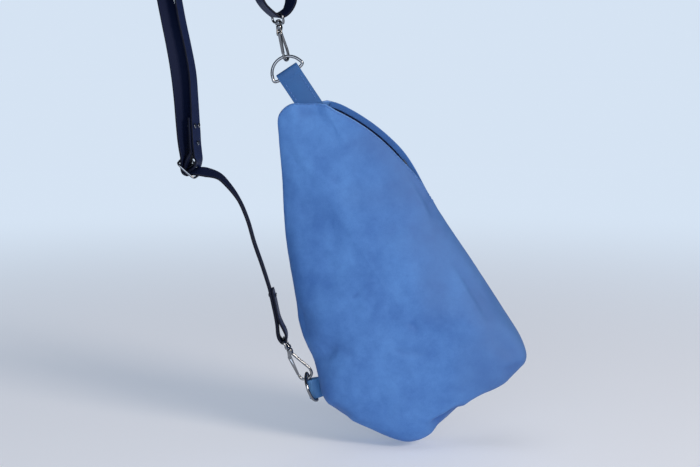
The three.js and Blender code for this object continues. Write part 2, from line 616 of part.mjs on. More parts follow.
/**
 * A hook whose foot lies round a ring at `seat`, leaning to the front by `pitch` and to the left by `tilt`.
 * Its bail is twisted about the swivel by `twist`, and its body by `turn`.
 */
function snapHook(name, seat, { pitch = 0, tilt, twist = 0, turn = 0 }) {
  const frame = group(part);
  frame.rotation.set(pitch, -tilt, twist);
  const hook = group(frame);
  hook.rotation.z = turn - twist;
  const foot = new Vector3(HOOK_SEAT, 0, -HOOK_DROP + HOOK_WIRE + RING_WIRE + HOOK_PLAY);
  frame.position.copy(seat).sub(foot.applyEuler(hook.rotation).applyEuler(frame.rotation));
  add(frame, `${name}_hook_bail`, bail(), NICKEL());
  add(hook, `${name}_hook_body`, hookBody(), NICKEL());
  const hinge = group(hook, gateX, 0, -GATE_DROP);
  add(hinge, `${name}_hook_gate`, hookGate(), NICKEL());
  add(hinge, `${name}_gate_pin`, rod(GATE_PIN, GATE_WIDTH + 2 * (FIT + GATE_CHEEK), 12), NICKEL());
  frame.updateMatrixWorld(true);
  const bar = new Vector3(0, 1, 0).applyEuler(frame.rotation);
  return { at: frame.localToWorld(new Vector3(0, 0, BAIL_RISE)), lean: [bar.x / bar.y, bar.z / bar.y] };
}

part.updateMatrixWorld(true);
const topPull = LEAN + TAB_TILT - TOP_PULL; // in the ring's own frame, to the right of its middle
const topSeat = topEye.localToWorld(
  new Vector3(TOP_RING * Math.sin(topPull), 0, RING_BAR_DROP + TOP_RING * Math.cos(topPull)));
const lowerSeat = lowerRing.localToWorld(
  new Vector3(LOWER_RING * Math.sin(LOWER_PULL), 0, RING_BAR_DROP + LOWER_RING * Math.cos(LOWER_PULL)));
const { at: topBar, lean: topLean } = snapHook("top", topSeat, {
  pitch: TOP_HOOK_PITCH, tilt: TOP_HOOK_TILT, twist: TOP_HOOK_TWIST, turn: TOP_HOOK_TURN });
const { at: lowerBar } = snapHook("lower", lowerSeat, { tilt: LOWER_HOOK_TILT });

// Strap: from a riveted fold on the buckle's middle bar up and over, round the top bail, back over
// outside itself, through the buckle and down to a riveted loop in the lower bail. Each point of the
// route is placed from the bar that it belongs to, with the way its far edge leans.

const buckleBar = lowerBar.clone().add(new Vector3(-BUCKLE_OUT, 0, BUCKLE_RISE));
buckleBar.y = -BACK_DEPTH;
const archTop = buckleBar.clone().add(topBar).multiplyScalar(0.5).setZ(topBar.z + ARCH_RISE);
archTop.x -= ARCH_LEFT;
const outerWrap = WRAP + STRAP_LEATHER + FIT;
const barLean = [0.3, 0.27]; // of the buckle's bars, to the right and up as they go back

/** Route points beside an origin: [right, up, lean of the far edge to the right, and up]. */
const beside = (origin, places) =>
  places.map(([x, z, leanX = 0, leanZ = 0]) =>
    ({ at: origin.clone().add(new Vector3(x, 0, z)), far: new Vector3(leanX, 1, leanZ) }));
/** The same for points in the plane square to a leaning bar. */
const squareTo = (origin, places, [leanX, leanZ]) =>
  places.map(([x, z]) => ({
    at: origin.clone().add(new Vector3(x, -leanX * x - leanZ * z, z)),
    far: new Vector3(leanX, 1, leanZ),
  }));
const round = (origin, radius, degrees, lean = [0, 0]) => {
  const turns = degrees.map((turn) => turn * DEG);
  return squareTo(origin, turns.map((turn) => [radius * Math.cos(turn), radius * Math.sin(turn)]), lean);
};

const buckleFoot = [ // just over the buckle's lowest bar
  BUCKLE_PITCH * Math.cos(BUCKLE_SLANT), -BUCKLE_PITCH * Math.sin(BUCKLE_SLANT) + WRAP + FIT];
const archSide = (span, layers) =>
  [[-span, -68], [-span * 0.72, -31], [-span * 0.4, -9], [0, 0]]
    .map(([x, z]) => [x - Math.sign(x) * layers, z - layers]);
const mirrored = (places) => places.toReversed().slice(1).map(([x, z]) => [-x, z]);
const archSpan = (topBar.x - buckleBar.x) / 2 + 15;
const innerArch = archSide(archSpan, STRAP_LEATHER + LAYER_GAP);
const outerArch = archSide(archSpan, 0);

const fold = [
  ...beside(buckleBar, [[2.7, 52, 0.3], [3.2, 41, 0.31], [3.7, 28, 0.31], [3.6, 17, 0.3, 0.12]]),
  ...squareTo(buckleBar, [[-0.4, 8.5]], barLean)];
const innerRun = [
  ...squareTo(buckleBar, [[6.4, 1.6]], barLean),
  ...beside(buckleBar, [
    [8.4, 7, 0.3, 0.16], [8, 14, 0.3, 0.06], [7, 25, 0.31], [6.5, 36, 0.32], [6, 46, 0.31], [5.1, 71, 0.27],
    [3.6, 97.4, 0.24], [-0.7, 123.7, 0.22], [-6.1, 150, 0.24], [-10.4, 176, 0.21], [-15, 205, 0.15],
    [-18.4, 236, 0.1]])];
const topLoop = [
  ...beside(topBar, [
    [-4, 78], [-11.5, 57, -0.3], [-18.8, 38, -0.5], [-19.8, 22, -0.5], [-13.6, 8.6, -0.5, 0.1]]),
  ...round(topBar, WRAP, [225, 270, 315], topLean),
  ...beside(topBar, [
    [10, 3, -0.5, 0.15], [14.6, 13, -0.7], [12.4, 32, -0.7], [5.8, 54, -0.4], [2.6, 78, -0.1]])];
const outerRun = [
  ...beside(buckleBar, [
    [-29, 236, 0.3], [-28.6, 205, 0.6], [-24.7, 176, 0.85], [-19.7, 150, 1.15], [-14.5, 123.7, 1.5],
    [-10.5, 97.4, 1.4], [-8.1, 71, 0.95], [-6.7, 45, 0.74], [-6, 27, 0.6, 0.08]]),
  ...squareTo(buckleBar, [[-5.4, 12]], barLean)];
const lowerRun = [
  ...squareTo(buckleBar, [buckleFoot], barLean),
  ...beside(buckleBar, [[16.9, -5.4, 0.05, 0.36], [30, -9.6, 0.07, 0.17], [39.2, -18.5, 0.07, 0.07],
    [50.5, -34.2], [59.4, -55.2]]),
  ...beside(lowerBar, [[-30, 102.8], [-22, 79.1], [-14.7, 55.5], [-12.6, 47, 0.03], [-10.7, 38, 0.03],
    [-9, 30, 0.03], [-7.7, 23, 0.03], [-6.6, 15, 0.03], [-6.1, 8, 0.03], [-5, 2.5]])];
const lowerLoop = [
  ...round(lowerBar, WRAP, [215, 260, 300, 345]),
  ...beside(lowerBar, [[3, 5], [2.1, 9.5, 0.03], [-0.6, 16, 0.03], [-4.1, 23.5, 0.03], [-6.1, 30.5, 0.03],
    [-7.8, 38, 0.03], [-9.7, 47, 0.03], [-11.4, 54]])];

const route = [
  ...fold, ...round(buckleBar, WRAP, [170, 215, 260, 305, 345], barLean), ...innerRun,
  ...beside(archTop, [...innerArch, ...mirrored(innerArch)]), ...topLoop,
  ...beside(archTop, [...outerArch, ...mirrored(outerArch)].map(([x, z]) => [-x, z])), ...outerRun,
  ...round(buckleBar, outerWrap, [185, 225, 270, 305], barLean), ...lowerRun, ...lowerLoop,
];

/** Frames along a route: a point, the strap's width, and the way its face looks. */
function framesAlong(stops, stepsEach) {
  const curve = new THREE.CatmullRomCurve3(stops.map((stop) => stop.at), false, "centripetal");
  const spans = stops.length - 1;
  return Array.from({ length: spans * stepsEach + 1 }, (_, i) => {
    const stop = Math.min(Math.floor(i / stepsEach), spans - 1);
    const along = curve.getTangent(i / (spans * stepsEach));
    const far = stops[stop].far.clone().lerp(stops[stop + 1].far, i / stepsEach - stop);
    const width = far.addScaledVector(along, -far.dot(along)).normalize();
    return { at: curve.getPoint(i / (spans * stepsEach)), width, face: along.clone().cross(width) };
  });
}

function ribbon(frames) {
  const [across, through] = [STRAP_WIDTH / 2, STRAP_LEATHER / 2];
  const corners = [[-across, -through], [across, -through], [across, through], [-across, through]];
  return loft(frames.map(({ at, width, face }) => corners.map(([w, f]) =>
    at.clone().addScaledVector(width, w).addScaledVector(face, f))));
}

const STRAP_STEPS = 2;
const strapFrames = framesAlong(route, STRAP_STEPS);

/** A rivet's place: through two stretches of the strap, where they pass `height` above a bar. */
function rivetSite(bar, height, sideways, stretchA, stretchB) {
  const passing = ([first, last]) => {
    const frames = strapFrames.slice(first * STRAP_STEPS, last * STRAP_STEPS + 1);
    const level = (frame) => frame.at.z - bar.z - height;
    const next = frames.findIndex((frame, i) => i > 0 && level(frame) * level(frames[i - 1]) <= 0);
    const [a, b] = [frames[next - 1], frames[next]];
    const share = level(a) / (level(a) - level(b));
    return { at: a.at.clone().lerp(b.at, share), width: a.width.clone().lerp(b.width, share).normalize() };
  };
  const [a, b] = [passing(stretchA), passing(stretchB)];
  const axis = a.at.clone().sub(b.at);
  axis.addScaledVector(a.width, -axis.dot(a.width));
  const middle = a.at.clone().add(b.at).multiplyScalar(0.5).addScaledVector(a.width, sideways);
  const half = axis.length() / 2 + STRAP_LEATHER / 2 + 3 * FIT;
  return { half, place: new Matrix4().makeRotationFromQuaternion(new THREE.Quaternion()
    .setFromUnitVectors(new Vector3(0, 0, 1), axis.normalize())).setPosition(middle) };
}

function rivet({ half, place }) {
  const head = half + RIVET_HEAD_HEIGHT;
  const rim = half + RIVET_HEAD_HEIGHT * 0.4;
  return turned([
    [0, -head], [RIVET_HEAD * 0.6, -head], [RIVET_HEAD, -rim], [RIVET_HEAD, -half], [RIVET_RADIUS, -half],
    [RIVET_RADIUS, half], [RIVET_HEAD, half], [RIVET_HEAD, rim], [RIVET_HEAD * 0.6, head], [0, head],
  ], 12).applyMatrix4(place);
}

const rivetBore = ({ half, place }) =>
  rod(RIVET_RADIUS + FIT, 2 * half, 12).rotateX(Math.PI / 2).applyMatrix4(place);

const upperFold = [[0, 3], [12, 16]]; // stretches of the route, counted in its points
const lowerFold = [[route.length - 20, route.length - 18], [route.length - 3, route.length - 1]];
const rivets = {
  buckle_rivet_left: rivetSite(buckleBar, RIVET_RISE, -STRAP_WIDTH / 4, ...upperFold),
  buckle_rivet_right: rivetSite(buckleBar, RIVET_RISE, STRAP_WIDTH / 4, ...upperFold),
  buckle_rivet_low: rivetSite(buckleBar, RIVET_RISE - RIVET_STEP, 0, ...upperFold),
  loop_rivet: rivetSite(lowerBar, LOOP_RIVET_RISE, 0, ...lowerFold),
};
add(part, "strap", cut(ribbon(strapFrames), ...Object.values(rivets).map(rivetBore)), NAVY_LEATHER());
for (const [name, site] of Object.entries(rivets)) add(part, name, rivet(site), NICKEL());

// The buckle: three bars in one frame, the strap's fold round the middle one

function buckle() {
  const bars = new Vector3(barLean[0], 1, barLean[1]).normalize();
  const across = new Vector3(Math.cos(BUCKLE_SLANT), 0, -Math.sin(BUCKLE_SLANT));
  across.addScaledVector(bars, -across.dot(bars)).normalize();
  const half = STRAP_WIDTH / 2 + BAIL_PLAY + BUCKLE_WIRE;
  const loop = roundedLoop(half, -BUCKLE_PITCH, BUCKLE_PITCH, 3, bars, across);
  const bar = rod(BUCKLE_WIRE, 2 * half, 12).applyQuaternion(
    new THREE.Quaternion().setFromUnitVectors(new Vector3(0, 1, 0), bars));
  return join(wireLoop(loop, BUCKLE_WIRE, 32, bars.clone().cross(across)), bar);
}

const buckleMesh = add(part, "slide_buckle", buckle(), NICKEL());
buckleMesh.position.copy(buckleBar);

export default part;
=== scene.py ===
"""A single-strap backpack in blue nubuck, with a navy strap on two swivel hooks.

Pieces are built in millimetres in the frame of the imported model, and turned to metres at the end.
"""
import json
import logging
import math
from collections.abc import Callable, Sequence
from dataclasses import dataclass, field
from enum import Enum

import bmesh
import bpy
from mathutils import Matrix, Vector, noise


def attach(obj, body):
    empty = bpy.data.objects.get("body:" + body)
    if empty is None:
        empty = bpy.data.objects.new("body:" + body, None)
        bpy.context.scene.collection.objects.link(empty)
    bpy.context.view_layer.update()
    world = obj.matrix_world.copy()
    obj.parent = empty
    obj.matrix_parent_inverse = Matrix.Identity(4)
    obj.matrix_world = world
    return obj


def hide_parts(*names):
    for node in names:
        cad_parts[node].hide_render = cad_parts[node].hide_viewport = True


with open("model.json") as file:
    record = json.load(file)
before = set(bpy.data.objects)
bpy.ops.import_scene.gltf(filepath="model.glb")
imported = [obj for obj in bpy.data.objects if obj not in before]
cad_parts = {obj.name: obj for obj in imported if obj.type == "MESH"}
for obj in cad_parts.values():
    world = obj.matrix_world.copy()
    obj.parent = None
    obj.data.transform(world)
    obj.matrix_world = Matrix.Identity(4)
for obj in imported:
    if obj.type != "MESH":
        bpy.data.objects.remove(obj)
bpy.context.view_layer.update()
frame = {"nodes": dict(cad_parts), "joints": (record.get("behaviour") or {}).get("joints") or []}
LOG = logging.getLogger("backpack")
MM = 0.001
UP = Vector((0, 0, 1))
BACKWARDS = Vector((0, 1, 0))
FIT = 0.3  # gap between pieces that lie against each other, in mm
LOWER_RING_TURN = math.radians(76)  # about its bar, from the tab's plane
LOWER_RING_CANT = math.radians(7)  # of its bar in the tab's eye
LOWER_RING_SHIFT = 2.6  # along the tab's eye


class Slot(Enum):
    """The record's material slots."""

    BODY = "body_leather"
    STRAP = "strap_leather"
    LINING = "lining"
    TAPE = "zip_tape"
    METAL = "nickel"


class Side(Enum):
    """The two panels of the body, by the sign of their Y."""

    FRONT = -1
    BACK = 1


# Small tools


def linear(colour: str) -> tuple[float, float, float, float]:
    """Turns an sRGB hex value to linear RGBA.

    Args:
        colour: Six hex digits after a hash sign.
    Returns:
        Red, green, blue and alpha.
    """
    shares = [int(colour[i:i + 2], 16) / 255 for i in (1, 3, 5)]
    return (*[c / 12.92 if c <= 0.04045 else ((c + 0.055) / 1.055) ** 2.4 for c in shares], 1.0)


def add_node(
    tree: bpy.types.NodeTree, kind: str, inputs: dict | None = None, **settings: object
) -> bpy.types.Node:
    """Adds a node.

    Args:
        tree: Where to.
        kind: The node's Blender type.
        inputs: Values, or sockets to link, by the input's name or number.
        settings: The node's own properties.
    Returns:
        The node.
    """
    node = tree.nodes.new(kind)
    for name, value in settings.items():
        setattr(node, name, value)
    for name, value in (inputs or {}).items():
        if isinstance(value, bpy.types.NodeSocket):
            tree.links.new(value, node.inputs[name])
        else:
            node.inputs[name].default_value = value
    return node


def per_metre(size: float) -> float:
    """The texture scale that gives a pattern of that size in millimetres."""
    return 1000 / size


def mix(a: float, b: float, share: float) -> float:
    """Goes from a to b."""
    return a + (b - a) * share


def smoothstep(value: float, low: float, high: float) -> float:
    """Rises smoothly from 0 at low to 1 at high."""
    share = min(1.0, max(0.0, (value - low) / (high - low)))
    return share * share * (3 - 2 * share)


def basis(at: Vector, x: Vector, y: Vector, z: Vector) -> Matrix:
    """A frame from its origin and its three axes.

    Args:
        at: Its origin.
        x: Its first axis.
        y: Its second axis.
        z: Its third axis.
    Returns:
        The matrix.
    """
    made = Matrix((x, y, z)).transposed().to_4x4()
    made.translation = at
    return made


class SmoothPath:
    """A centripetal Catmull-Rom curve through points."""

    def __init__(self, points: Sequence[Vector], closed: bool = False) -> None:
        """Keeps the points, and whether the curve comes back to the first one.

        Args:
            points: What the curve goes through.
            closed: Whether it ends where it starts.
        """
        self.points = [Vector(p) for p in points]
        self.closed = closed
        self.spans = len(self.points) - (0 if closed else 1)

    def _knot(self, index: int) -> Vector:
        """A point by its number, carried on past the ends of an open curve.

        Args:
            index: Its number, from 0; it may be past the ends.
        Returns:
            The point.
        """
        count = len(self.points)
        if self.closed:
            return self.points[index % count]
        if index < 0:
            return 2 * self.points[0] - self.points[1]
        if index >= count:
            return 2 * self.points[-1] - self.points[-2]
        return self.points[index]

    def point(self, share: float) -> Vector:
        """The point at a share of the way, counted evenly by knots.

        Args:
            share: From 0 to 1.
        Returns:
            The point.
        """
        place = share * self.spans
        span = min(int(place), self.spans - 1)
        t = place - span
        a, b, c, d = (self._knot(span + k) for k in (-1, 0, 1, 2))
        ab, bc, cd = (max((q - p).length, 1e-4) ** 0.5 for p, q in ((a, b), (b, c), (c, d)))
        leave = ((b - a) / ab - (c - a) / (ab + bc) + (c - b) / bc) * bc
        arrive = ((c - b) / bc - (d - b) / (bc + cd) + (d - c) / cd) * bc
        return (b + leave * t + (3 * (c - b) - 2 * leave - arrive) * t ** 2
                + (2 * (b - c) + leave + arrive) * t ** 3)

    def tangent(self, share: float) -> Vector:
        """The way that the curve goes there."""
        step = 1e-4
        return (self.point(min(1, share + step)) - self.point(max(0, share - step))).normalized()

    def evenly(self, count: int) -> list[Vector]:
        """Points at equal steps of length.

        Args:
            count: The number of steps. A closed curve doesn't repeat its first point.
        Returns:
            The points.
        """
        fine = [self.point(i / (20 * self.spans)) for i in range(20 * self.spans + 1)]
        return spaced(fine, count)[:count if self.closed else count + 1]


def spaced(line: Sequence[Vector], count: int) -> list[Vector]:
    """Points at equal steps along a line of points.

    Args:
        line: The line.
        count: The number of steps.
    Returns:
        One point more than there are steps.
    """
    reach = [0.0]
    for a, b in zip(line, line[1:]):
        reach.append(reach[-1] + (b - a).length)
    made, at = [], 0
    for i in range(count + 1):
        want = reach[-1] * i / count
        while at < len(line) - 2 and reach[at + 1] < want:
            at += 1
        share = (want - reach[at]) / max(reach[at + 1] - reach[at], 1e-9)
        made.append(line[at].lerp(line[at + 1], min(1.0, share)))
    return made


# Mesh tools


def sweep(
    bm: bmesh.types.BMesh,
    section: Sequence[tuple[float, float]],
    frames: Sequence[Matrix],
    closed: bool = False,
    marks: dict[str, Sequence[float]] | None = None,
) -> None:
    """Extrudes a closed section from frame to frame.

    Args:
        bm: Where to.
        section: Points in the frames' X and Y.
        frames: The places of the section, with Z along the way.
        closed: Whether the last frame joins the first, or both ends are capped.
        marks: For each layer's name, a value for each point of the section.
    """
    floats = bm.verts.layers.float
    layers = [(floats.get(name) or floats.new(name), values)
              for name, values in (marks or {}).items()]
    ring = [bm.verts.new(frames[0] @ Vector((x, y, 0))) for x, y in section]
    for layer, values in layers:
        for vert, value in zip(ring, values):
            vert[layer] = value
    edges = [bm.edges.new((ring[i - 1], ring[i])) for i in range(len(ring))]
    first = list(edges)
    made = set(ring)
    for before, after in zip(frames, frames[1:]):
        out = bmesh.ops.extrude_edge_only(bm, edges=edges)["geom"]
        fresh = {g for g in out if isinstance(g, bmesh.types.BMVert)}
        edges = [g for g in out if isinstance(g, bmesh.types.BMEdge) and set(g.verts) <= fresh]
        bmesh.ops.transform(bm, matrix=after @ before.inverted(), verts=list(fresh))
        made |= fresh
    if closed:
        bmesh.ops.bridge_loops(bm, edges=first + edges)
    else:
        for loop in (first, edges):
            bmesh.ops.contextual_create(bm, geom=loop)
    faces = list({f for v in made for f in v.link_faces})
    bmesh.ops.recalc_face_normals(bm, faces=faces)


def turn_profile(
    bm: bmesh.types.BMesh,
    profile: Sequence[tuple[float, float]],
    place: Matrix,
    steps: int = 28,
    closed: bool = False,
) -> None:
    """Spins a profile about the Z axis of a frame.

    Args:
        bm: Where to.
        profile: Pairs of radius and height.
        place: The frame.
        steps: Steps round the axis.
        closed: Whether the profile is a loop that stays clear of the axis.
    """
    verts = [bm.verts.new((r, 0, z)) for r, z in profile]
    edges = [bm.edges.new(pair) for pair in zip(verts, verts[1:])]
    if closed:
        edges.append(bm.edges.new((verts[-1], verts[0])))
    before = set(bm.verts) - set(verts)
    bmesh.ops.spin(bm, geom=verts + edges, cent=(0, 0, 0), axis=UP, angle=math.tau, steps=steps,
                   use_merge=True)
    bmesh.ops.remove_doubles(bm, verts=[v for v in bm.verts if v not in before], dist=1e-4)
    fresh = [v for v in bm.verts if v not in before]
    bmesh.ops.recalc_face_normals(bm, faces=list({f for v in fresh for f in v.link_faces}))
    bmesh.ops.transform(bm, matrix=place, verts=fresh)


def circle(radius: float, sides: int = 16) -> list[tuple[float, float]]:
    """A round section."""
    turns = [math.tau * k / sides for k in range(sides)]
    return [(radius * math.cos(t), radius * math.sin(t)) for t in turns]


def strip_section(width: float, thickness: float, corner: float) -> tuple[list, list]:
    """The section of a leather strip with rounded edges.

    Args:
        width: Across the strip.
        thickness: Through it.
        corner: Radius of its edges.
    Returns:
        The points, and for each 1 on the cut edge and 0 on the faces.
    """
    half, thick = width / 2, thickness / 2
    points, mark = [], []
    for sx, sy, start in ((1, 1, 0), (-1, 1, 90), (-1, -1, 180), (1, -1, 270)):
        for step in range(4):
            turn = math.radians(start + step * 30)
            points.append((sx * (half - corner) + corner * math.cos(turn),
                           sy * (thick - corner) + corner * math.sin(turn)))
            mark.append(1.0 if abs(math.cos(turn)) > 0.6 else 0.0)
    inner = half - 2.2 * corner
    return ([*points[:4], (inner, thick), (0, thick), (-inner, thick), *points[4:12],
             (-inner, -thick), (0, -thick), (inner, -thick), *points[12:]],
            [*mark[:4], 0, 0, 0, *mark[4:12], 0, 0, 0, *mark[12:]])


def planar_frames(points: Sequence[Vector], across: Vector, closed: bool = False) -> list[Matrix]:
    """Frames along points of a plane.

    Args:
        points: The way.
        across: Square to the plane; it becomes the frames' Y.
        closed: Whether the way comes back to its start.
    Returns:
        A frame for each point, with Z along the way.
    """
    frames = []
    for i, at in enumerate(points):
        before = points[i - 1] if i or closed else at
        after = points[(i + 1) % len(points)] if i + 1 < len(points) or closed else at
        along = (after - before).normalized()
        frames.append(basis(at, across.cross(along).normalized(), across, along))
    return frames


def fuse(bm: bmesh.types.BMesh, voxel: float, rounds: int) -> bmesh.types.BMesh:
    """Melts overlapping shells to one skin with small fillets, as a casting has.

    Args:
        bm: The shells. It is used up.
        voxel: Cell size in millimetres.
        rounds: How often the skin is smoothed.
    Returns:
        The skin.
    """
    mesh = bpy.data.meshes.new("casting")
    bm.to_mesh(mesh)
    bm.free()
    thing = bpy.data.objects.new("casting", mesh)
    bpy.context.scene.collection.objects.link(thing)
    remesh = thing.modifiers.new("skin", "REMESH")
    remesh.mode, remesh.voxel_size = "VOXEL", voxel
    evaluated = thing.evaluated_get(bpy.context.evaluated_depsgraph_get())
    skin = bmesh.new()
    skin.from_mesh(evaluated.to_mesh())
    evaluated.to_mesh_clear()
    bpy.data.objects.remove(thing)
    bpy.data.meshes.remove(mesh)
    for _ in range(rounds):
        bmesh.ops.smooth_vert(skin, verts=skin.verts, factor=0.5,
                              use_axis_x=True, use_axis_y=True, use_axis_z=True)
    return skin


def cad_copy(node: str) -> bmesh.types.BMesh:
    """A copy of a CAD node's mesh, in millimetres, merged and cleared of needless edges.

    Args:
        node: The node's name.
    Returns:
        The copy.
    """
    bm = bmesh.new()
    bm.from_mesh(frame["nodes"][node].data)
    bmesh.ops.scale(bm, vec=(1 / MM,) * 3, verts=bm.verts)
    bmesh.ops.remove_doubles(bm, verts=bm.verts, dist=0.01)
    bmesh.ops.dissolve_limit(bm, angle_limit=math.radians(2), verts=bm.verts, edges=bm.edges)
    return bm


def soften_edges(bm: bmesh.types.BMesh, width: float, least: float = 28) -> None:
    """Bevels the edges that turn by more than an angle.

    Args:
        bm: The mesh.
        width: Of the bevel, in millimetres.
        least: The angle in degrees.
    """
    sharp = [e for e in bm.edges
             if len(e.link_faces) == 2 and e.calc_face_angle() > math.radians(least)]
    bmesh.ops.bevel(bm, geom=sharp, offset=width, segments=2, profile=0.5, affect="EDGES",
                    clamp_overlap=True, material=-1)


def stitch_row(
    bm: bmesh.types.BMesh, line: Sequence[Vector], outwards: Callable[[Vector], Vector],
    pitch: float = 4.2, length: float = 3.3, thread: float = 0.42,
) -> None:
    """Lays stitches along a line on a surface.

    Args:
        bm: Where to.
        line: Points on the surface.
        outwards: The surface's normal near a point.
        pitch: From one stitch to the next.
        length: Of a stitch.
        thread: Half the thread's thickness.
    """
    total = sum((b - a).length for a, b in zip(line, line[1:]))
    count = max(1, round(total / pitch))
    places = spaced(line, 2 * count)
    for i in range(1, len(places) - 1, 2):
        along = (places[i + 1] - places[i - 1]).normalized()
        out = outwards(places[i])
        out = (out - along * out.dot(along)).normalized()
        place = basis(places[i] + out * thread * 0.35, along * length / 2,
                      out.cross(along) * thread, out * thread)
        bmesh.ops.create_uvsphere(bm, u_segments=8, v_segments=6, radius=1, matrix=place)


def finish_piece(
    name: str, bm: bmesh.types.BMesh, finish: "Finish", body: str,
    replaces: Sequence[str] = (), sharp: float = 42,
) -> bpy.types.Object:
    """Makes a piece of a mesh in millimetres, gives it its finish and puts it on its body.

    Args:
        name: The piece's name.
        bm: Its mesh. It is used up.
        finish: What it is made of.
        body: The CAD body that it rides on.
        replaces: The CAD nodes that it stands for.
        sharp: Edges that turn by more than this many degrees stay sharp.
    Returns:
        The piece.
    """
    bmesh.ops.scale(bm, vec=(MM,) * 3, verts=bm.verts)
    mesh = bpy.data.meshes.new(name)
    bm.to_mesh(mesh)
    bm.free()
    mesh.shade_smooth()
    mesh.set_sharp_from_angle(angle=math.radians(sharp))
    piece = bpy.data.objects.new(name, mesh)
    bpy.context.scene.collection.objects.link(piece)
    mesh.materials.append(finish.material())
    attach(piece, body)
    if replaces:
        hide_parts(*replaces)
    LOG.info("%s: %d faces on %s", name, len(mesh.polygons), body)
    return piece


def joint_place(name: str) -> tuple[Vector, Vector]:
    """A joint's point in millimetres, and its axis."""
    joint = next(j for j in frame["joints"] if j["name"] == name)
    return Vector(joint["pos_m"]) / MM, Vector(joint["axis"]).normalized()


# Finishes


@dataclass(frozen=True)
class Finish:
    """What a surface is made of."""

    name: str

    def material(self) -> bpy.types.Material:
        """The Blender material, made at its first use.

        Returns:
            The material, the same one at each call.
        """
        if self.name in bpy.data.materials:
            return bpy.data.materials[self.name]
        made = bpy.data.materials.new(self.name)
        made.use_nodes = True
        tree = made.node_tree
        tree.nodes.clear()
        shader = add_node(tree, "ShaderNodeBsdfPrincipled")
        add_node(tree, "ShaderNodeOutputMaterial", {"Surface": shader.outputs["BSDF"]})
        self.dress(tree, shader)
        return made

    def dress(self, tree: bpy.types.NodeTree, shader: bpy.types.Node) -> None:
        """Builds the nodes behind the shader."""
        raise NotImplementedError

    @staticmethod
    def set_inputs(tree: bpy.types.NodeTree, shader: bpy.types.Node, **inputs: object) -> None:
        """Sets or links shader inputs; an underscore in a name stands for a space.

        Args:
            tree: The material's tree.
            shader: The shader.
            inputs: Values or sockets.
        """
        for name, value in inputs.items():
            socket = shader.inputs[name.replace("_", " ")]
            if isinstance(value, bpy.types.NodeSocket):
                tree.links.new(value, socket)
            else:
                socket.default_value = value


@dataclass(frozen=True)
class NubuckLeather(Finish):
    """Buffed cowhide: a matt nap with clouds of lighter and darker dye; where the mesh marks them,
    painted shade in its folds, a painted highlight along the mouth's rim, and dust with a painted
    sheen greying its right side.
    """

    deep: str = "#3562a4"
    fair: str = "#5282c1"
    painted_rim_highlight: str = "#7fa3da"
    shade: str = "#274b8c"
    dust_and_sheen_grey: str = "#42639a"
    gloss: float = 0.35
    cloud: float = 58
    patch: float = 17
    nap: float = 1.1  # drawn coarser than the real nap, which is too fine to show

    def dress(self, tree: bpy.types.NodeTree, shader: bpy.types.Node) -> None:
        """Clouds, patches and nap in the colour; nap and pores in the relief.

        Args:
            tree: The material's tree.
            shader: The shader.
        """
        place = add_node(tree, "ShaderNodeTexCoord").outputs["Object"]

        def clouds(size: float, detail: float, rough: float) -> bpy.types.NodeSocket:
            """A noise of that size in millimetres.

            Args:
                size: Width of a cloud.
                detail: Octaves.
                rough: Share that each octave keeps.
            Returns:
                Its value, from 0 to 1.
            """
            return add_node(tree, "ShaderNodeTexNoise", {
                "Vector": place, "Scale": per_metre(size), "Detail": detail, "Roughness": rough,
            }).outputs["Fac"]

        nap = clouds(self.nap, 3, 0.6)
        broad = add_node(tree, "ShaderNodeMix", {0: 0.4, 2: clouds(self.cloud, 4, 0.6),
                                                 3: clouds(self.patch, 4, 0.65)}).outputs[0]
        tinted = add_node(tree, "ShaderNodeMix", {0: 0.15, 2: broad, 3: nap}).outputs[0]
        share = add_node(tree, "ShaderNodeMapRange", {
            "Value": tinted, "From Min": 0.35, "From Max": 0.65}).outputs["Result"]
        dyed = add_node(tree, "ShaderNodeMix", {
            0: share, 6: linear(self.deep), 7: linear(self.fair)}, data_type="RGBA").outputs[2]
        # painted shade: darker in the folds' valleys, from marks on the mesh
        crease_shade = add_node(tree, "ShaderNodeAttribute", attribute_name="crease_shade").outputs["Fac"]
        shaded = add_node(tree, "ShaderNodeMix", {
            0: crease_shade, 6: dyed, 7: linear(self.shade)}, data_type="RGBA").outputs[2]
        # dust and painted sheen: greyer towards the panel's right side, where the key light grazes
        # the nap
        dust_and_sheen = add_node(tree, "ShaderNodeAttribute", attribute_name="dust_and_sheen").outputs["Fac"]
        dust_and_sheen_tinted = add_node(tree, "ShaderNodeMix", {
            0: dust_and_sheen, 6: shaded, 7: linear(self.dust_and_sheen_grey)}, data_type="RGBA").outputs[2]
        # painted highlight along the mouth's rim
        rim_highlight = add_node(tree, "ShaderNodeAttribute", attribute_name="rim_highlight").outputs["Fac"]
        colour = add_node(tree, "ShaderNodeMix", {
            0: rim_highlight, 6: dust_and_sheen_tinted, 7: linear(self.painted_rim_highlight)}, data_type="RGBA").outputs[2]
        rough = add_node(tree, "ShaderNodeMapRange", {
            "Value": broad, "From Min": 0.3, "From Max": 0.7, "To Min": 0.62, "To Max": 0.82})
        pores = add_node(tree, "ShaderNodeMix", {0: 0.3, 2: nap, 3: clouds(0.5, 1, 0.5)}).outputs[0]
        relief = add_node(tree, "ShaderNodeBump", {
            "Height": pores, "Strength": 0.35, "Distance": 0.0003})
        self.set_inputs(tree, shader, Base_Color=colour, Roughness=rough.outputs["Result"],
                        Normal=relief.outputs["Normal"], Sheen_Weight=0.1, Sheen_Roughness=0.4,
                        Sheen_Tint=linear("#a9c4f2"), Specular_IOR_Level=self.gloss)


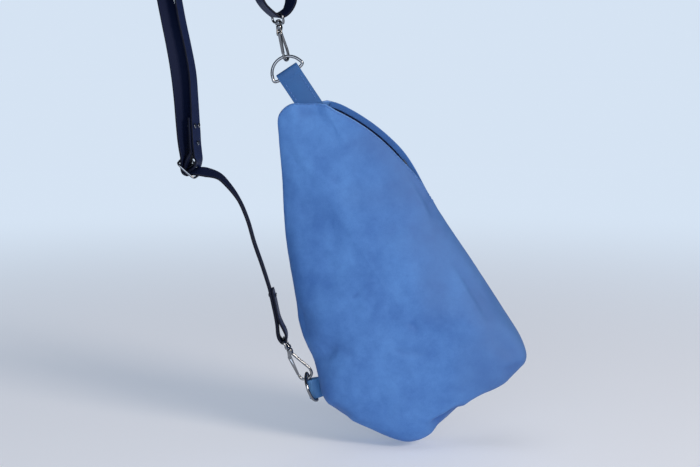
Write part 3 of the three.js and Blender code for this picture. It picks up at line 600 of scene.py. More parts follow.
@dataclass(frozen=True)
class StrapLeather(Finish):
    """Smooth finished bridle leather: a closed grain with a low shine, and a burnished cut edge."""

    face: str = "#16254f"
    dark: str = "#0c1533"
    cut: str = "#070b1b"
    flesh: str = "#0a1430"
    grain: float = 1.0  # drawn coarser than the real grain, which is too fine to show

    def dress(self, tree: bpy.types.NodeTree, shader: bpy.types.Node) -> None:
        """Cloudy dye, a fine pebbled grain and a darker edge.

        Args:
            tree: The material's tree.
            shader: The shader.
        """
        place = add_node(tree, "ShaderNodeTexCoord").outputs["Object"]
        cloud = add_node(tree, "ShaderNodeTexNoise", {
            "Vector": place, "Scale": per_metre(22), "Detail": 4, "Roughness": 0.6}).outputs["Fac"]
        pebble = add_node(tree, "ShaderNodeTexVoronoi", {
            "Vector": place, "Scale": per_metre(self.grain)}).outputs["Distance"]
        dyed = add_node(tree, "ShaderNodeMix", {
            0: cloud, 6: linear(self.dark), 7: linear(self.face)}, data_type="RGBA").outputs[2]
        edge = add_node(tree, "ShaderNodeAttribute", attribute_name="edge").outputs["Fac"]
        flesh = add_node(tree, "ShaderNodeAttribute", attribute_name="flesh").outputs["Fac"]
        backed = add_node(tree, "ShaderNodeMix", {
            0: flesh, 6: dyed, 7: linear(self.flesh)}, data_type="RGBA").outputs[2]
        colour = add_node(tree, "ShaderNodeMix", {
            0: edge, 6: backed, 7: linear(self.cut)}, data_type="RGBA").outputs[2]
        shine = add_node(tree, "ShaderNodeMapRange", {
            "Value": cloud, "From Min": 0.3, "From Max": 0.7, "To Min": 0.42, "To Max": 0.55})
        rough = add_node(tree, "ShaderNodeMix", {
            0: flesh, 2: shine.outputs["Result"], 3: 0.7}).outputs[0]
        relief = add_node(tree, "ShaderNodeBump", {
            "Height": pebble, "Strength": 0.3, "Distance": 0.00015})
        self.set_inputs(tree, shader, Base_Color=colour, Roughness=rough,
                        Normal=relief.outputs["Normal"], Specular_IOR_Level=0.14)


@dataclass(frozen=True)
class PolishedNickel(Finish):
    """Nickel-plated zinc, polished: a grey mirror with faint hazy patches from handling."""

    colour: str = "#9a9ca0"
    shade: str = "#616368"
    haze: float = 6

    def dress(self, tree: bpy.types.NodeTree, shader: bpy.types.Node) -> None:
        """Hazy patches in the gloss, and a slight wave in the plating.

        Args:
            tree: The material's tree.
            shader: The shader.
        """
        place = add_node(tree, "ShaderNodeTexCoord").outputs["Object"]
        haze = add_node(tree, "ShaderNodeTexNoise", {
            "Vector": place, "Scale": per_metre(self.haze), "Detail": 5, "Roughness": 0.65,
        }).outputs["Fac"]
        rough = add_node(tree, "ShaderNodeMapRange", {
            "Value": haze, "From Min": 0.3, "From Max": 0.7, "To Min": 0.08, "To Max": 0.18})
        tint = add_node(tree, "ShaderNodeMix", {
            0: haze, 6: linear(self.shade), 7: linear(self.colour)}, data_type="RGBA").outputs[2]
        relief = add_node(tree, "ShaderNodeBump", {
            "Height": haze, "Strength": 0.05, "Distance": 0.0002})
        self.set_inputs(tree, shader, Base_Color=tint, Metallic=1.0,
                        Roughness=rough.outputs["Result"], Normal=relief.outputs["Normal"])


@dataclass(frozen=True)
class WovenCloth(Finish):
    """Woven cotton: crossing threads that give a fine checked relief and a dry, dull face."""

    warp: str = "#27355c"
    weft: str = "#1d2949"
    spacing: float = 1.1  # drawn coarser than the real thread spacing, which is too fine to show
    slope: float = 0.0  # turn of the threads, in degrees

    def dress(self, tree: bpy.types.NodeTree, shader: bpy.types.Node) -> None:
        """Two crossing sets of threads, in colour and relief.

        Args:
            tree: The material's tree.
            shader: The shader.
        """
        place = add_node(tree, "ShaderNodeTexCoord").outputs["Object"]
        turned = add_node(tree, "ShaderNodeMapping", {
            "Vector": place, "Rotation": (0, math.radians(self.slope), 0)}).outputs["Vector"]
        # a wave texture has about three bands to one unit of its scale
        threads = [add_node(tree, "ShaderNodeTexWave", {
            "Vector": turned, "Scale": per_metre(self.spacing) / 3.14, "Distortion": 0.4,
        }, bands_direction=way).outputs["Fac"] for way in ("X", "Z")]
        cross = add_node(tree, "ShaderNodeMath", {0: threads[0], 1: threads[1]},
                         operation="MULTIPLY").outputs[0]
        colour = add_node(tree, "ShaderNodeMix", {
            0: cross, 6: linear(self.weft), 7: linear(self.warp)}, data_type="RGBA").outputs[2]
        relief = add_node(tree, "ShaderNodeBump", {
            "Height": cross, "Strength": 0.5, "Distance": 0.0002})
        self.set_inputs(tree, shader, Base_Color=colour, Roughness=0.9,
                        Normal=relief.outputs["Normal"], Sheen_Weight=0.15, Specular_IOR_Level=0.2)


@dataclass(frozen=True)
class SewingThread(Finish):
    """Bonded polyester thread: a tight twist with a soft shine."""

    colour: str = "#5c86c8"
    dark: str = "#2c5596"

    def dress(self, tree: bpy.types.NodeTree, shader: bpy.types.Node) -> None:
        """The twist, as a fine mottle in colour and relief.

        Args:
            tree: The material's tree.
            shader: The shader.
        """
        place = add_node(tree, "ShaderNodeTexCoord").outputs["Object"]
        twist = add_node(tree, "ShaderNodeTexNoise", {
            "Vector": place, "Scale": per_metre(0.6), "Detail": 2}).outputs["Fac"]
        colour = add_node(tree, "ShaderNodeMix", {
            0: twist, 6: linear(self.dark), 7: linear(self.colour)}, data_type="RGBA").outputs[2]
        relief = add_node(tree, "ShaderNodeBump", {
            "Height": twist, "Strength": 0.4, "Distance": 0.0001})
        self.set_inputs(tree, shader, Base_Color=colour, Roughness=0.55,
                        Normal=relief.outputs["Normal"])


BODY_LEATHER = NubuckLeather("blue_nubuck_leather")
TAB_LEATHER = NubuckLeather("blue_pull_up_leather", deep="#1e4980", fair="#2a5b94", gloss=0.5)
# a lighter, more teal copy of the leather for the lower tab: its own teal colour, lightened further
# as painted light against the shade on the tab, which faces away from the key
LOWER_TAB_LIGHTENED_LEATHER = NubuckLeather("blue_waxed_leather_painted_light", deep="#3b70a6", fair="#4f88bb", gloss=0.7)
# a darker copy of the leather for the zip facings and the seam binding: partly the turned flesh
# side, partly painted shade where they lie in the mouth and the seam
SHADE_DARKENED_LEATHER = NubuckLeather("blue_skived_leather_painted_shade", deep="#26508f", fair="#3464a6")
STRAP_LEATHER = StrapLeather("navy_bridle_leather")
NICKEL = PolishedNickel("polished_nickel")
BLACK_NICKEL = PolishedNickel("black_nickel", colour="#34363b", shade="#1f2126")
LINING_CLOTH = WovenCloth("cotton_lining_cloth")
TAPE_CLOTH = WovenCloth("cotton_zip_tape", warp="#1f2d55", weft="#141d3a", spacing=0.9, slope=45)
THREAD = SewingThread("bonded_sewing_thread")


# The body


@dataclass(frozen=True)
class Fold:
    """A valley pressed into a panel, along a line in the front view, in millimetres."""

    line: tuple[tuple[float, float], ...]
    depth: float
    left: float  # spread on the left of the line's direction
    right: float
    ends: float = 0.35  # share of the line in which it fades at each end
    painted_shade: float = 0.3  # how much painted shade darkens the leather in it

    def press(self, x: float, z: float) -> float:
        """How far into the valley a place is, from 0 to 1.

        Args:
            x: Across the front view.
            z: Up.
        Returns:
            1 on the line, 0 away from it.
        """
        reach = 2.6 * max(self.left, self.right)
        xs, zs = [p[0] for p in self.line], [p[1] for p in self.line]
        if not (min(xs) - reach < x < max(xs) + reach and min(zs) - reach < z < max(zs) + reach):
            return 0.0
        best, value = 1e9, 0.0
        spans = len(self.line) - 1
        for i, ((ax, az), (bx, bz)) in enumerate(zip(self.line, self.line[1:])):
            dx, dz = bx - ax, bz - az
            share = ((x - ax) * dx + (z - az) * dz) / (dx * dx + dz * dz)
            inside = min(1.0, max(0.0, share))
            ox, oz = x - ax - inside * dx, z - az - inside * dz
            away = math.hypot(ox, oz)
            if away >= best:
                continue
            best = away
            spread = self.left if dx * oz - dz * ox > 0 else self.right
            along = (i + inside) / spans
            fade = smoothstep(along, -0.02, self.ends) * smoothstep(1 - along, -0.02, self.ends)
            value = math.exp(-((away / spread) ** 2)) * (fade if self.ends > 0 else 1)
        return value


@dataclass(frozen=True)
class RimPoint:
    """A point of the body's outline, in the frame of its seam."""

    at: Vector
    inwards: Vector
    parted: float  # share of the rim's sag or rise there
    mouth: float  # 1 along the zip, 0 along the closed seam
    gap: float  # from the seam plane to the panel's rim
    fullness: float
    along: float  # way round the outline


@dataclass
class BodyForm:
    """The drop-shaped body: its outline and the frame that it hangs in."""

    length: float = 372
    base_width: float = 216
    top_width: float = 40
    back_depth: float = 28
    top_depth: float = 12
    flat_drop: float = 215
    side_fullness: float = 2.2
    base_fullness: float = 4.5
    lean: float = math.radians(23.5)
    zip_drop: float = 10
    zip_chord: float = 137
    zip_slant: float = math.radians(25.4)
    zip_radius: float = 200
    mouth: float = 7.7
    mouth_ramp: float = 18
    tab_gap: float = 2.1
    tab_reach: float = 17.5
    tab_offset: float = 1.7
    lower_tab_gap: float = 2.8
    lower_tab_reach: float = 14.7
    lower_tab_drop: float = 283.4
    zip_steps: int = 84
    run_steps: int = 252
    # the free run, in shares of half the base width and of the length
    run: tuple[tuple[float, float], ...] = (
        (0.78, 0.46), (0.87, 0.6), (0.965, 0.766), (1.01, 0.874), (0.963, 0.917), (0.74, 0.949),
        (0.325, 0.96), (-0.045, 0.994), (-0.25, 1.008), (-0.4, 1.002), (-0.52, 0.977),
        (-0.713, 0.919), (-0.87, 0.869), (-0.975, 0.818), (-1, 0.785), (-0.967, 0.728),
        (-0.942, 0.68), (-0.946, 0.61), (-0.925, 0.56), (-0.868, 0.507), (-0.704, 0.323),
        (-0.5, 0.161), (-0.38, 0.059))
    shoulder: tuple[tuple[float, float], ...] = ((-0.8, 0.004), (-0.4, -0.012), (0, 0.004))
    rim: list[RimPoint] = field(init=False)

    def __post_init__(self) -> None:
        """Works out the zip's arc and the rim."""
        self.seam = Matrix.Rotation(-self.lean, 4, "Y") @ Matrix.Translation(
            (0, -self.back_depth, self.flat_drop))
        slant = Vector((math.sin(self.zip_slant), 0, -math.cos(self.zip_slant)))
        self.zip_top = Vector((self.top_width / 2, 0, -self.zip_drop))
        self.zip_foot = self.zip_top + slant * self.zip_chord
        sag = math.sqrt(self.zip_radius ** 2 - (self.zip_chord / 2) ** 2)
        self.zip_centre = (self.zip_top + self.zip_foot) / 2 + Vector((slant.z, 0, -slant.x)) * sag
        start = self.zip_top - self.zip_centre
        self.zip_start = math.atan2(start.z, start.x)
        self.zip_length = 2 * self.zip_radius * math.asin(self.zip_chord / 2 / self.zip_radius)
        self.rim = self._rim()

    def zip_point(self, along: float, height: float, y: float) -> Vector:
        """A point by its way along the zip, its height above the zip's edge and its Y.

        Args:
            along: Millimetres down the zip.
            height: Millimetres away from the bag.
            y: Its place across the seam.
        Returns:
            The point, in the frame of the seam.
        """
        turn = self.zip_start - along / self.zip_radius
        reach = self.zip_radius + height
        return Vector((self.zip_centre.x + reach * math.cos(turn), y,
                       self.zip_centre.z + reach * math.sin(turn)))

    @staticmethod
    def parted(share: float) -> float:
        """How far the two rims of the mouth have parted, by the share of the way down the zip."""
        return smoothstep(share, -0.12, 0.12) * (1 - smoothstep(share, 0.63, 1.02))

    def _outline(self) -> list[Vector]:
        """Points down the zip, round the base and up the left side.

        Returns:
            The points, in the frame of the seam.
        """
        half = self.base_width / 2
        way = SmoothPath([
            self.zip_foot, *(Vector((x * half, 0, -z * self.length)) for x, z in self.run),
            *(Vector((x * self.top_width, 0, -z * self.length)) for x, z in self.shoulder),
            self.zip_top])
        down = [self.zip_point(self.zip_length * i / self.zip_steps, 0, 0)
                for i in range(self.zip_steps)]
        return down + way.evenly(self.run_steps)[:-1]

    def _rim(self) -> list[RimPoint]:
        """The outline with what the panels need to know of each point.

        Returns:
            The rim points, in order.
        """
        points = self._outline()
        lower = min((p for p in points if p.x < 0), key=lambda p: abs(p.z + self.lower_tab_drop))

        def near(at: Vector, x: float, z: float, reach: float) -> float:
            """1 within reach of a place, fading to 0 past it."""
            return 1 - smoothstep(math.hypot(at.x - x, at.z - z), reach, reach + self.mouth_ramp)

        made, along = [], 0.0
        for i, at in enumerate(points):
            before, after = points[i - 1], points[(i + 1) % len(points)]
            on_zip = i <= self.zip_steps
            mouth = 1.0 if on_zip else max(near(at, self.zip_top.x, self.zip_top.z, 0),
                                           near(at, self.zip_foot.x, self.zip_foot.z, 0))
            by_tab = near(at, self.tab_offset, 0, self.tab_reach)
            by_lower_tab = near(at, lower.x, -self.lower_tab_drop, self.lower_tab_reach)
            gap = max(FIT / 2, self.mouth * mouth, self.tab_gap * by_tab,
                      self.lower_tab_gap * by_lower_tab)
            base = smoothstep(-at.z, self.length * 0.7, self.length * 0.95)
            down = i / self.zip_steps if on_zip else -(at - self.zip_top).length / self.zip_length
            made.append(RimPoint(
                at=at, inwards=Vector((after.z - before.z, 0, before.x - after.x)).normalized(),
                parted=self.parted(down), mouth=mouth, gap=gap,
                fullness=mix(self.side_fullness, self.base_fullness, base), along=along))
            along += (after - at).length
        return made


@dataclass
class Panel:
    """One half of the body: a leather shell with its lining."""

    form: BodyForm
    side: Side
    crown: float
    taper: float
    flat: float
    rise: float
    folds: tuple[Fold, ...] = ()
    leather: float = 1.6
    lining: float = 0.7
    lining_inset: float = 2.6
    stitch_ring: int = 4
    rim_rings: tuple[float, ...] = (0, 0.8, 1.6, 2.4, 3.2, 4.0, 4.8, 6, 8, 10.5, 13.5)
    field_rings: int = 70
    field_step: float = 3.0  # about how far apart the rings past the rim are
    broad_wave: float = 1.7
    fine_wave: float = 0.4
    crumple: float = 1.8  # height of the soft facets between creases
    even: float = 0.035  # share of the way round over which depths are averaged

    def _profile(self, rim: RimPoint, inset: float) -> list[Vector]:
        """Points from the rim to the middle of the panel, below its outer face by an inset.

        Args:
            rim: The rim point that the profile starts from.
            inset: How far below the outer face.
        Returns:
            Points in the frame of the seam.
        """
        edge = rim.at + rim.inwards * (inset - self.rise * rim.parted)
        middle = Vector((0, 0, -self.form.flat_drop))
        steps, made = 90, []
        for step in range(steps, -1, -1):
            turn = math.pi / 2 * step / steps
            out = math.sin(turn) ** (2 / rim.fullness)
            bulge = math.cos(turn) ** (2 / rim.fullness) if step < steps else 0.0
            at = middle.lerp(edge, self.flat + (1 - self.flat) * out)
            depth = mix(self.form.top_depth, self.crown, smoothstep(-at.z, 0, self.taper)) - inset
            at.y = self.side.value * mix(rim.gap, depth, bulge)
            made.append(at)
        if self.flat:
            made.append(Vector((middle.x, made[-1].y, middle.z)))
        return made

    def _column(
        self, rim: RimPoint, inset: float, margins: Sequence[float], rings: int
    ) -> list[Vector]:
        """Points of one profile at the margins from the rim, then evenly to the middle.

        Args:
            rim: The rim point that it starts from.
            inset: How far below the outer face.
            margins: The first distances from the rim.
            rings: Steps from there to the middle.
        Returns:
            The points.
        """
        line = self._profile(rim, inset)
        reach = [0.0]
        for a, b in zip(line, line[1:]):
            reach.append(reach[-1] + (b - a).length)
        wanted = [*margins, *(mix(margins[-1], reach[-1], k / rings) for k in range(1, rings + 1))]
        made, at = [], 0
        for want in wanted:
            while at < len(line) - 2 and reach[at + 1] < want:
                at += 1
            share = (want - reach[at]) / max(reach[at + 1] - reach[at], 1e-9)
            made.append(line[at].lerp(line[at + 1], min(1.0, share)))
        return made

    def _press(self, at: Vector, rim: RimPoint, margin: float) -> float:
        """How far a place of the panel is pressed in, in millimetres.

        Args:
            at: The place, in the frame of the part.
            rim: The rim point of its profile.
            margin: Its distance from the rim.
        Returns:
            The depth; below 0 it stands out.
        """
        pressed = sum(fold.depth * fold.press(at.x, at.z) for fold in self.folds)
        pressed *= smoothstep(margin, 0.5, 14)
        calm = smoothstep(margin, 3, 34)
        pressed += calm * self.broad_wave * noise.noise(at / 68)
        pressed += calm * self.fine_wave * noise.noise(at / 24 + Vector((7, 3, 1)))
        pressed -= calm * self.crumple * noise.turbulence(at / 62 + Vector((2, 9, 4)), 3, True)
        closed = 1 - rim.mouth
        pucker = noise.noise(Vector((rim.along / 9, 5, 0)))
        pressed += closed * 0.5 * pucker * math.exp(-margin / 9) * smoothstep(margin, 0, 6)
        pressed += closed * 1.1 * (1 - smoothstep(margin, 0, 4.2))
        seam_line = self.rim_rings[self.stitch_ring]
        pressed += rim.mouth * 0.4 * math.exp(-(((margin - seam_line) / 0.9) ** 2))
        return pressed

    def _shell(self, inset: float, margins: Sequence[float], rings: int, step: int) -> tuple:
        """A skin of the panel, spun as a disc and put in place point by point.

        Args:
            inset: How far it lies below the outer face.
            margins: The distances of its first rings from the rim.
            rings: Rings from there to the middle.
            step: Every how many rim points it has a profile.
        Returns:
            The mesh, and its rings of points.
        """
        rims = self.form.rim[::step]
        count, last = len(rims), len(margins) + rings - 1
        columns = [self._column(rim, inset, margins, rings) for rim in rims]
        self._even_out(columns, len(margins))
        bm = bmesh.new()
        dust_and_sheen = bm.verts.layers.float.new("dust_and_sheen")
        crease_shade = bm.verts.layers.float.new("crease_shade")
        rim_highlight = bm.verts.layers.float.new("rim_highlight")
        chain = [bm.verts.new((last - k, 0, 0)) for k in range(last + 1)]
        spokes = [bm.edges.new(pair) for pair in zip(chain, chain[1:])]
        bmesh.ops.spin(bm, geom=chain + spokes, cent=(0, 0, 0), axis=UP, angle=math.tau,
                       steps=count, use_merge=True)
        bmesh.ops.remove_doubles(bm, verts=bm.verts, dist=1e-3)
        places: dict[tuple[int, int], bmesh.types.BMVert] = {}
        for vert in bm.verts:
            ring = last - round(math.hypot(vert.co.x, vert.co.y))
            spoke = round(math.atan2(vert.co.y, vert.co.x) / math.tau * count) % count
            places[ring, spoke] = vert
        for (ring, spoke), vert in places.items():
            vert.co = self.form.seam @ columns[spoke][ring]
        bmesh.ops.recalc_face_normals(bm, faces=bm.faces)
        bm.normal_update()
        first = next(iter(places.values()))
        if first.normal.y * self.side.value < 0 and self._inside_out(places, last):
            bmesh.ops.reverse_faces(bm, faces=bm.faces)
            bm.normal_update()
        moved = {}
        for (ring, spoke), vert in places.items():
            past = ring - len(margins) + 1
            margin = margins[ring] if past <= 0 else margins[-1] + self.field_step * past
            pressed = self._press(vert.co, rims[spoke], margin)
            moved[vert] = vert.co - vert.normal * pressed
            # painted shade: darker in the folds' valleys, where shade falls
            painted_shade = sum(fold.painted_shade * fold.press(vert.co.x, vert.co.z) for fold in self.folds)
            vert[crease_shade] = min(0.8, painted_shade)
            # dust and painted sheen: greyer towards the panel's right side
            right = (self.form.seam.inverted() @ vert.co).x / (self.form.base_width / 2)
            vert[dust_and_sheen] = 0.6 * smoothstep(right + 0.35 * noise.noise(vert.co / 40), 0.05, 0.85)
            # painted highlight along the mouth's rim, where its edge catches the light
            vert[rim_highlight] = 0.5 * rims[spoke].mouth * (1 - smoothstep(margin, 0.4, 1.6))
        for vert, co in moved.items():
            vert.co = co
        return bm, places

    def _even_out(self, columns: list[list[Vector]], first: int) -> None:
        """Averages depths round the panel, more so towards its middle, to leave no ridges.

        Args:
            columns: The profiles. Their points are changed.
            first: The first ring that changes.
        """
        count = len(columns)
        for ring in [k for k in range(first, len(columns[0])) for _ in range(2)]:
            reach = round(self.even * count * smoothstep(ring, first - 1, first + 14))
            depths = [column[ring].y for column in columns]
            for spoke, column in enumerate(columns):
                near = [depths[(spoke + k) % count] for k in range(-reach, reach + 1)]
                column[ring].y = sum(near) / len(near)

    def _inside_out(self, places: dict, last: int) -> bool:
        """Whether the middle of the skin looks into the body."""
        middle = next(v for (ring, _), v in places.items() if ring == last)
        return middle.normal.y * self.side.value < 0

    def build(self) -> None:
        """Builds the leather, its topstitching along the mouth, and the lining."""
        word = self.side.name.lower()
        bm, places = self._shell(0, self.rim_rings, self.field_rings, 1)
        zip_steps, run = self.form.zip_steps, len(self.form.rim)
        line = [places[self.stitch_ring, i % run] for i in range(run - 18, run + zip_steps + 6)]
        normals = [v.normal.copy() for v in line]
        points = [v.co.copy() for v in line]
        leather = finish_piece(f"{word}_leather", bm, BODY_LEATHER, "bag",
                               [f"{word}_panel"])
        self._thicken(leather, self.leather)

        def outwards(at: Vector) -> Vector:
            """The normal of the nearest point of the line."""
            return normals[min(range(len(points)), key=lambda i: (points[i] - at).length_squared)]

        thread = bmesh.new()
        stitch_row(thread, points, outwards)
        finish_piece(f"{word}_zip_stitching", thread, THREAD, "bag")
        inner, _ = self._shell(self.lining_inset, (6, 9, 13.5), 34, 2)
        lining = finish_piece(f"{word}_lining", inner, LINING_CLOTH, "bag",
                              [f"lining_{word}"])
        self._thicken(lining, self.lining)

    @staticmethod
    def _thicken(piece: bpy.types.Object, thickness: float) -> None:
        """Gives a skin its thickness, inwards.

        Args:
            piece: The skin.
            thickness: In millimetres.
        """
        wall = piece.modifiers.new("thickness", "SOLIDIFY")
        wall.thickness = thickness * MM
        wall.offset = -1
        wall.use_even_offset = False


FRONT_FOLDS = (
    # under the top seam
    Fold(((-98, 184), (-86, 187), (-72, 186)), depth=1.3, left=5, right=9, painted_shade=0.35),
    # the side pulled in by the lower ring, and the sharp valley below it
    Fold(((-96, -10), (-91, -34), (-84, -58)), depth=4, left=15, right=8, ends=0.4, painted_shade=0.15),
    Fold(((-84, -74), (-64, -68.5), (-57, -60), (-50, -46)), depth=3.4, left=15, right=4.5,
         ends=0.45, painted_shade=0.2),
    Fold(((-54, -57), (-44, -61), (-33, -62)), depth=1.2, left=6, right=4, painted_shade=0.2),
    # the right corner
    Fold(((104, -36), (122, -56), (140, -70)), depth=3.2, left=12, right=9, painted_shade=0.2),
    Fold(((116, -84), (130, -80), (142, -72)), depth=2.4, left=4, right=12, painted_shade=0.35),
    # along the right edge
    Fold(((16, 134), (30, 114), (42, 92), (48, 72)), depth=2.6, left=9, right=3.5, painted_shade=0.3),
    Fold(((60, 44), (80, 14), (98, -16), (106, -34)), depth=2.6, left=10, right=4, painted_shade=0.3),
    # small creases across the upper half and the belly
    Fold(((-62, 118), (-54, 114), (-50, 120)), depth=0.7, left=3, right=2, painted_shade=0.2),
    Fold(((-112, 100), (-84, 84), (-52, 78)), depth=2.2, left=12, right=20, ends=0.5, painted_shade=0.12),
    Fold(((2, -57), (20, -61), (42, -58)), depth=1.8, left=7, right=3, painted_shade=0.2),
    Fold(((18, -30), (26, -32), (31, -38)), depth=1.0, left=3.5, right=3, painted_shade=0.2),
    Fold(((-39, -6), (-29, 3)), depth=0.6, left=2, right=2, painted_shade=0.3),
    # the folded bottom edge
    Fold(((-64, -123), (-50, -131), (-36, -138)), depth=3.2, left=9, right=3, painted_shade=0.35),
    Fold(((80, -118), (62, -130), (40, -141)), depth=5.5, left=14, right=2.6, ends=0.3, painted_shade=0.7),
)


# The zip


@dataclass
class SeamBinding:
    """The turned-in edges of the two panels, sewn together inside the closed seam."""

    form: BodyForm
    inset: float = 3.3
    lap: float = 1.7
    leather: float = 1.2
    reach: int = 2  # rim points that it starts before the zip's foot
    short: int = 6  # rim points that it ends before the zip's top

    def build(self) -> None:
        """Builds the binding round the closed seam, as wide as the gap that it closes."""
        thick = self.leather / 2
        rims = self.form.rim[self.form.zip_steps - self.reach:-self.short]
        frames = [self.form.seam @ basis(
            rim.at + rim.inwards * self.inset, BACKWARDS * (rim.gap + self.lap), rim.inwards,
            BACKWARDS.cross(rim.inwards)) for rim in rims]
        bm = bmesh.new()
        sweep(bm, [(-1, -thick), (1, -thick), (1, thick), (-1, thick)], frames)
        finish_piece("seam_binding", bm, SHADE_DARKENED_LEATHER, "bag")


@dataclass
class Zip:
    """The open zip: two tapes that line the mouth, rows of teeth, stops, slider and pull."""

    form: BodyForm
    depth: float = 9
    slit: float = 5.2
    tooth_width: float = 2.2
    tooth_spine: float = 0.9
    tooth_pitch: float = 2.3
    tape: float = 0.8
    tape_margin: float = 4
    stop_length: float = 3
    facing: float = 6
    facing_leather: float = 0.9
    rises: tuple[tuple[Side, float], ...] = ((Side.FRONT, -4.0), (Side.BACK, 3.5))

    def _frames(self, first: float, last: float, steps: int) -> list[Matrix]:
        """Frames down the zip: X away from the bag, Y backwards, Z down the zip.

        Args:
            first: Where they start, in millimetres down the zip.
            last: Where they end.
            steps: How many steps.
        Returns:
            The frames.
        """
        made = []
        for i in range(steps + 1):
            along = mix(first, last, i / steps)
            at = self.form.zip_point(along, 0, 0)
            out = (self.form.zip_point(along, 1, 0) - at).normalized()
            made.append(self.form.seam @ basis(at, out, BACKWARDS, out.cross(BACKWARDS)))
        return made

    def _tape(self, side: Side, rise: float) -> bmesh.types.BMesh:
        """A tape: a wall up to the rim of the mouth, and a floor out to the teeth.

        Args:
            side: Which panel it is sewn to.
            rise: How far the rim rises where the mouth has parted.
        Returns:
            Its mesh.
        """
        floor, wall = -self.depth - FIT, self.form.mouth - FIT
        inner = self.slit / 2 + self.tooth_width - self.tooth_spine
        section = [(-FIT, wall), (floor - self.tape, wall), (floor - self.tape, inner),
                   (floor, inner), (floor, wall - self.tape), (-FIT, wall - self.tape)]
        first, last = self.tape_margin, self.form.zip_length - self.tape_margin
        bm = bmesh.new()
        sweep(bm, [(x, side.value * y) for x, y in section], self._frames(first, last, 60),
              marks={"edge": [1, 0, 0, 0, 0, 1]})
        layer = bm.verts.layers.float["edge"]
        self._lift([vert for vert in bm.verts if vert[layer] > 0.5], rise)
        return bm

    def _lift(self, verts: Sequence[bmesh.types.BMVert], rise: float) -> None:
        """Lifts points with the rim of the mouth.

        Args:
            verts: The points. They are moved.
            rise: How far the rim rises where the mouth has parted.
        """
        into = self.form.seam.inverted()
        for vert in verts:
            place = into @ vert.co - self.form.zip_centre
            along = (self.form.zip_start - math.atan2(place.z, place.x)) * self.form.zip_radius
            out = Vector((place.x, 0, place.z)).normalized()
            lift = rise * self.form.parted(along / self.form.zip_length)
            vert.co += self.form.seam.to_3x3() @ (out * lift)

    def _facing(self, side: Side, rise: float) -> bmesh.types.BMesh:
        """The edge of the panel's leather, turned in over the tape.

        Args:
            side: Which panel it belongs to.
            rise: How far the rim rises where the mouth has parted.
        Returns:
            Its mesh.
        """
        section, mark = strip_section(self.facing, self.facing_leather, 0.4)
        middle = self.form.mouth - 2 * FIT - self.tape - self.facing_leather / 2
        bm = bmesh.new()
        first, last = self.tape_margin, self.form.zip_length - self.tape_margin
        sweep(bm, [(x - FIT - self.facing / 2, side.value * (y + middle)) for x, y in section],
              self._frames(first, last, 60), marks={"edge": mark})
        self._lift(bm.verts[:], rise)
        return bm

    def _teeth(self, side: Side) -> bmesh.types.BMesh:
        """A row of separate teeth clamped on the tape.

        Args:
            side: Which tape.
        Returns:
            Their mesh.
        """
        start = self.tape_margin + self.stop_length + 2 * FIT
        length = self.form.zip_length - 2 * start
        count = int(length / self.tooth_pitch)
        shift = 0.25 if side is Side.FRONT else -0.25
        bm = bmesh.new()
        for i in range(1, count - 1):
            along = start + (i + 0.5 + shift) * self.tooth_pitch
            place = self._frames(along, along, 1)[0] @ Matrix.Translation(
                (-self.depth + 0.65, side.value * (self.slit + self.tooth_width) / 2, 0))
            size = Matrix.Diagonal((1.9, self.tooth_width, 1.25, 1))
            bmesh.ops.create_cube(bm, size=1, matrix=place @ size)
        bmesh.ops.bevel(bm, geom=bm.edges[:], offset=0.28, segments=1, profile=0.5, affect="EDGES",
                        material=-1)
        return bm

    def build(self) -> None:
        """Builds the zip's pieces."""
        for side, rise in self.rises:
            word = side.name.lower()
            finish_piece(f"{word}_zip_tape", self._tape(side, rise), TAPE_CLOTH, "bag",
                         [f"zip_tape_{word}"])
            finish_piece(f"{word}_zip_facing", self._facing(side, rise), SHADE_DARKENED_LEATHER, "bag")
            finish_piece(f"{word}_zip_teeth", self._teeth(side), NICKEL, "bag",
                         [f"zip_teeth_{word}"], sharp=30)
        for node, body, width in (("zip_top_stop", "bag", 0.4), ("zip_bottom_stop", "bag", 0.4),
                                  ("zip_slider", "slider", 0.25), ("zip_pull", "pull", 0.3)):
            bm = cad_copy(node)
            soften_edges(bm, width)
            finish_piece(f"{node}_metal", bm, BLACK_NICKEL, body, [node], sharp=30)


# Tabs, rings and hooks


